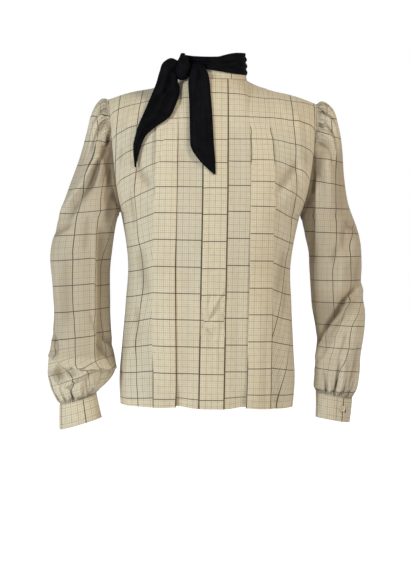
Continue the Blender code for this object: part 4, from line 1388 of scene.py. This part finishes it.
# Folds along the band: share of its height at the wearer's left front, back and right front.
BAND_FOLDS = ("left back right deep wide", [
    (0.10, 0.16, 0.22, 1.2, 0.07),
    (0.24, 0.30, 0.38, -1.5, 0.05),
    (0.40, 0.44, 0.50, 1.3, 0.07),
    (0.55, 0.60, 0.60, -1.6, 0.05),
    (0.70, 0.74, 0.72, 1.4, 0.07),
    (0.86, 0.87, 0.84, -1.0, 0.05),
])


BAND_ROWS, BAND_AROUND = 41, 192
BAND_FLAT = (420, 60)  # how long and how high it is on the uncut cloth


def tie_band():
    t, round_to = np.meshgrid(np.linspace(0, 1, BAND_ROWS), np.linspace(0, 1, BAND_AROUND + 1),
                              indexing="ij")
    weave = np.stack((round_to, t), axis=-1) * BAND_FLAT
    t, round_to = t[:, :-1], round_to[:, :-1]
    degrees = round_to * 360
    turn = np.radians(degrees)
    half_width, front, behind = TIE_RING
    depth = mix(front, behind, ease(0.5 - 0.5 * np.cos(turn)))
    out = -3.5 * t**2
    for left, middle, right, deep, wide in BAND_FOLDS[1]:
        at = np.where(round_to < 0.5, mix(left, middle, round_to * 2), mix(middle, right, round_to * 2 - 1))
        out += deep * np.exp(-((t - at) / wide) ** 2) * ease(round_to / 0.04) * ease((1 - round_to) / 0.04)
    z = mix(along(BAND_EDGES, "low", degrees), along(BAND_EDGES, "high", degrees), t)
    grid = np.stack(((half_width + out) * np.sin(turn), -(depth + out) * np.cos(turn), z), axis=-1)
    return grid, weave, 0.0, NO_STITCHES


KNOT_CENTRE, KNOT_RADII, NUB_RISE = (-62.95, -57.45, 30), (14.9, 12.4, 22.4), 9
KNOT_ROWS, KNOT_AROUND = 49, 96


def tie_knot():
    lift, turn = np.meshgrid(np.linspace(0.04, math.pi - 0.03, KNOT_ROWS),
                             np.linspace(0, 2 * math.pi, KNOT_AROUND + 1), indexing="ij")
    fold = np.abs(np.sin(2.5 * turn + 1.6 * lift + 0.5 * np.sin(2 * turn)))
    size = 1 + (0.11 * fold - 0.06) * np.sin(lift)
    wrap = np.exp(-(((lift - 1.25 - 0.35 * np.cos(turn - 2.2)) / 0.42) ** 2))
    size = size + 0.07 * wrap - 0.05 * np.exp(-(((lift - 2.0 - 0.3 * np.cos(turn - 2.2)) / 0.12) ** 2))
    x, y, z = (radius * size for radius in KNOT_RADII)
    rise = NUB_RISE * ease((lift - 2.35) / 0.7)
    pinch = 1 - 0.25 * ease((lift - 2.2) / 0.5)
    beside = np.where(np.cos(turn) < 0, np.sin(lift) ** 0.45, np.sin(lift))
    grid = np.stack((x * beside * pinch * np.cos(turn), y * np.sin(lift) * pinch * np.sin(turn),
                     rise - z * np.cos(lift)), axis=-1) + KNOT_CENTRE
    weave = np.stack((turn * 15, lift * 23), axis=-1)
    return grid[:, :-1], weave, 0.0, NO_STITCHES


# Tie ends: the two edges at each step along them, and how far each hangs before the origin.
TIE_ENDS = each_side("left_x left_z right_x right_z hang wave", left=[
    (-47.2, 34, -47.2, 40, 58, 0),
    (-47, 33, -30, 40, 69, 1.5),
    (-50, 20, -17, 25, 75, 2.5),
    (-54, 4, -12, 6, 77, 2.5),
    (-53, -21, -10, -20, 79, 2),
    (-52, -58, -7, -58, 79, 1.5),
    (-51, -97, -5, -97, 79, 1),
    (-48, -127, -3, -124, 79, 0.5),
    (-31, -152, -1, -146, 79, 0),
    (-3, -178, 0, -177, 79, 0),
], right=[
    (-75.6, 47, -73.5, 8, 57, 1),
    (-87, 51, -73.5, 2, 58, 3),
    (-102, 43, -70.5, -3, 58, 4),
    (-110, 24, -69.5, -12, 58, 4),
    (-116, 2, -72, -26, 60, 3.5),
    (-127, -27, -79, -44, 60, 3),
    (-139, -56, -90, -66, 60, 2),
    (-151, -84, -118, -87, 60, 1.5),
    (-159, -114, -138, -107, 60, 1),
    (-160, -140, -151, -148, 60, 0.5),
    (-157, -165, -155, -167, 60, 0),
])
TIE_LIE = {"left": 4.3, "right": 5.9}  # how far outside the bare fronts each end lies
END_ROWS, END_POINTS, END_WIDE = 110, 45, 42
# Folds along the ends: place across from 0 to 1 at the knot and at the tip.
END_FOLDS = ("from to deep wide", [
    (0.18, 0.10, -1.6, 0.06),
    (0.34, 0.30, 1.8, 0.08),
    (0.52, 0.50, -1.8, 0.06),
    (0.68, 0.72, 1.5, 0.08),
    (0.84, 0.92, -1.4, 0.06),
])


def front_depth(x, z, lift):
    """Depth, at places seen from the front, of a surface that lies lift outside the fronts."""
    beside = np.abs(x) / NECK_HALF_WIDTH
    top = np.where(beside < 1, NECK_Z, along(SHOULDER, "z", np.abs(x)))
    level = np.where(z > CHEST_Z, CHEST_Z + np.clip((z - CHEST_Z) / (top - CHEST_Z), 0, 0.97), z)
    slant = np.maximum(0.6, np.abs(body_normal(x, level, FRONT)[..., 1]))
    return np.where(z < top - 3, np.abs(body_point(x, level, FRONT)[..., 1]) + lift / slant, 0)


def tie_end(side):
    table = np.array(TIE_ENDS[side][1], float)
    middle = (table[:, 0:2] + table[:, 2:4]) / 2
    places = np.append(0, np.cumsum(np.linalg.norm(np.diff(middle, axis=0), axis=1)))
    run = np.linspace(0, places[-1], END_ROWS)
    left_x, left_z, right_x, right_z, hang, wave = (c[:, None] for c in smooth_curve(table, places, run).T)
    t = np.linspace(0, 1, END_POINTS)[None, :]
    x, z = mix(left_x, right_x, t), mix(left_z, right_z, t)
    under = front_depth(x, z, TIE_LIE[side])
    down = (run / places[-1])[:, None]
    fold = np.zeros_like(x)
    for start, end, deep, wide in END_FOLDS[1]:
        fold += deep * np.exp(-((t - mix(start, end, down)) / wide) ** 2)
    free = np.maximum(0, wave) / 4
    depth = (hang + under + np.sqrt((hang - under) ** 2 + 9)) / 2
    depth += wave * np.sin(2 * math.pi * t) ** 2
    depth += (fold + 1.6) * np.minimum(1, 0.25 + free) * ease(down / 0.06)
    grid = np.stack((x, -depth, z), axis=-1)[::-1]
    weave = np.stack(np.broadcast_arrays(t * END_WIDE, run[::-1, None]), axis=-1)
    return grid, weave, 0.0, NO_STITCHES


black_crepe = tie_material()
knot = sheet_piece("tie_knot_cloth", *tie_knot(), "tie_knot", 0, black_crepe, "tie", True)
band = sheet_piece("tie_band_cloth", *tie_band(), "tie_band", TIE_THICKNESS, black_crepe, "tie", True)
END_CUTS = (  # side, what it lies on, flat size in metres, share of that oblong that it fills
    ("left", ["centre_strip_cloth", "front_right_cloth"], (0.046, 0.235), 0.89),
    ("right", ["front_right_cloth"], (0.05, 0.235), 0.79),
)
for side, rests_on, cut, share in END_CUTS:
    end = sheet_piece("tie_end_" + side + "_cloth", *tie_end(side), "tie_tail_" + side, TIE_THICKNESS,
                      black_crepe, "tie")
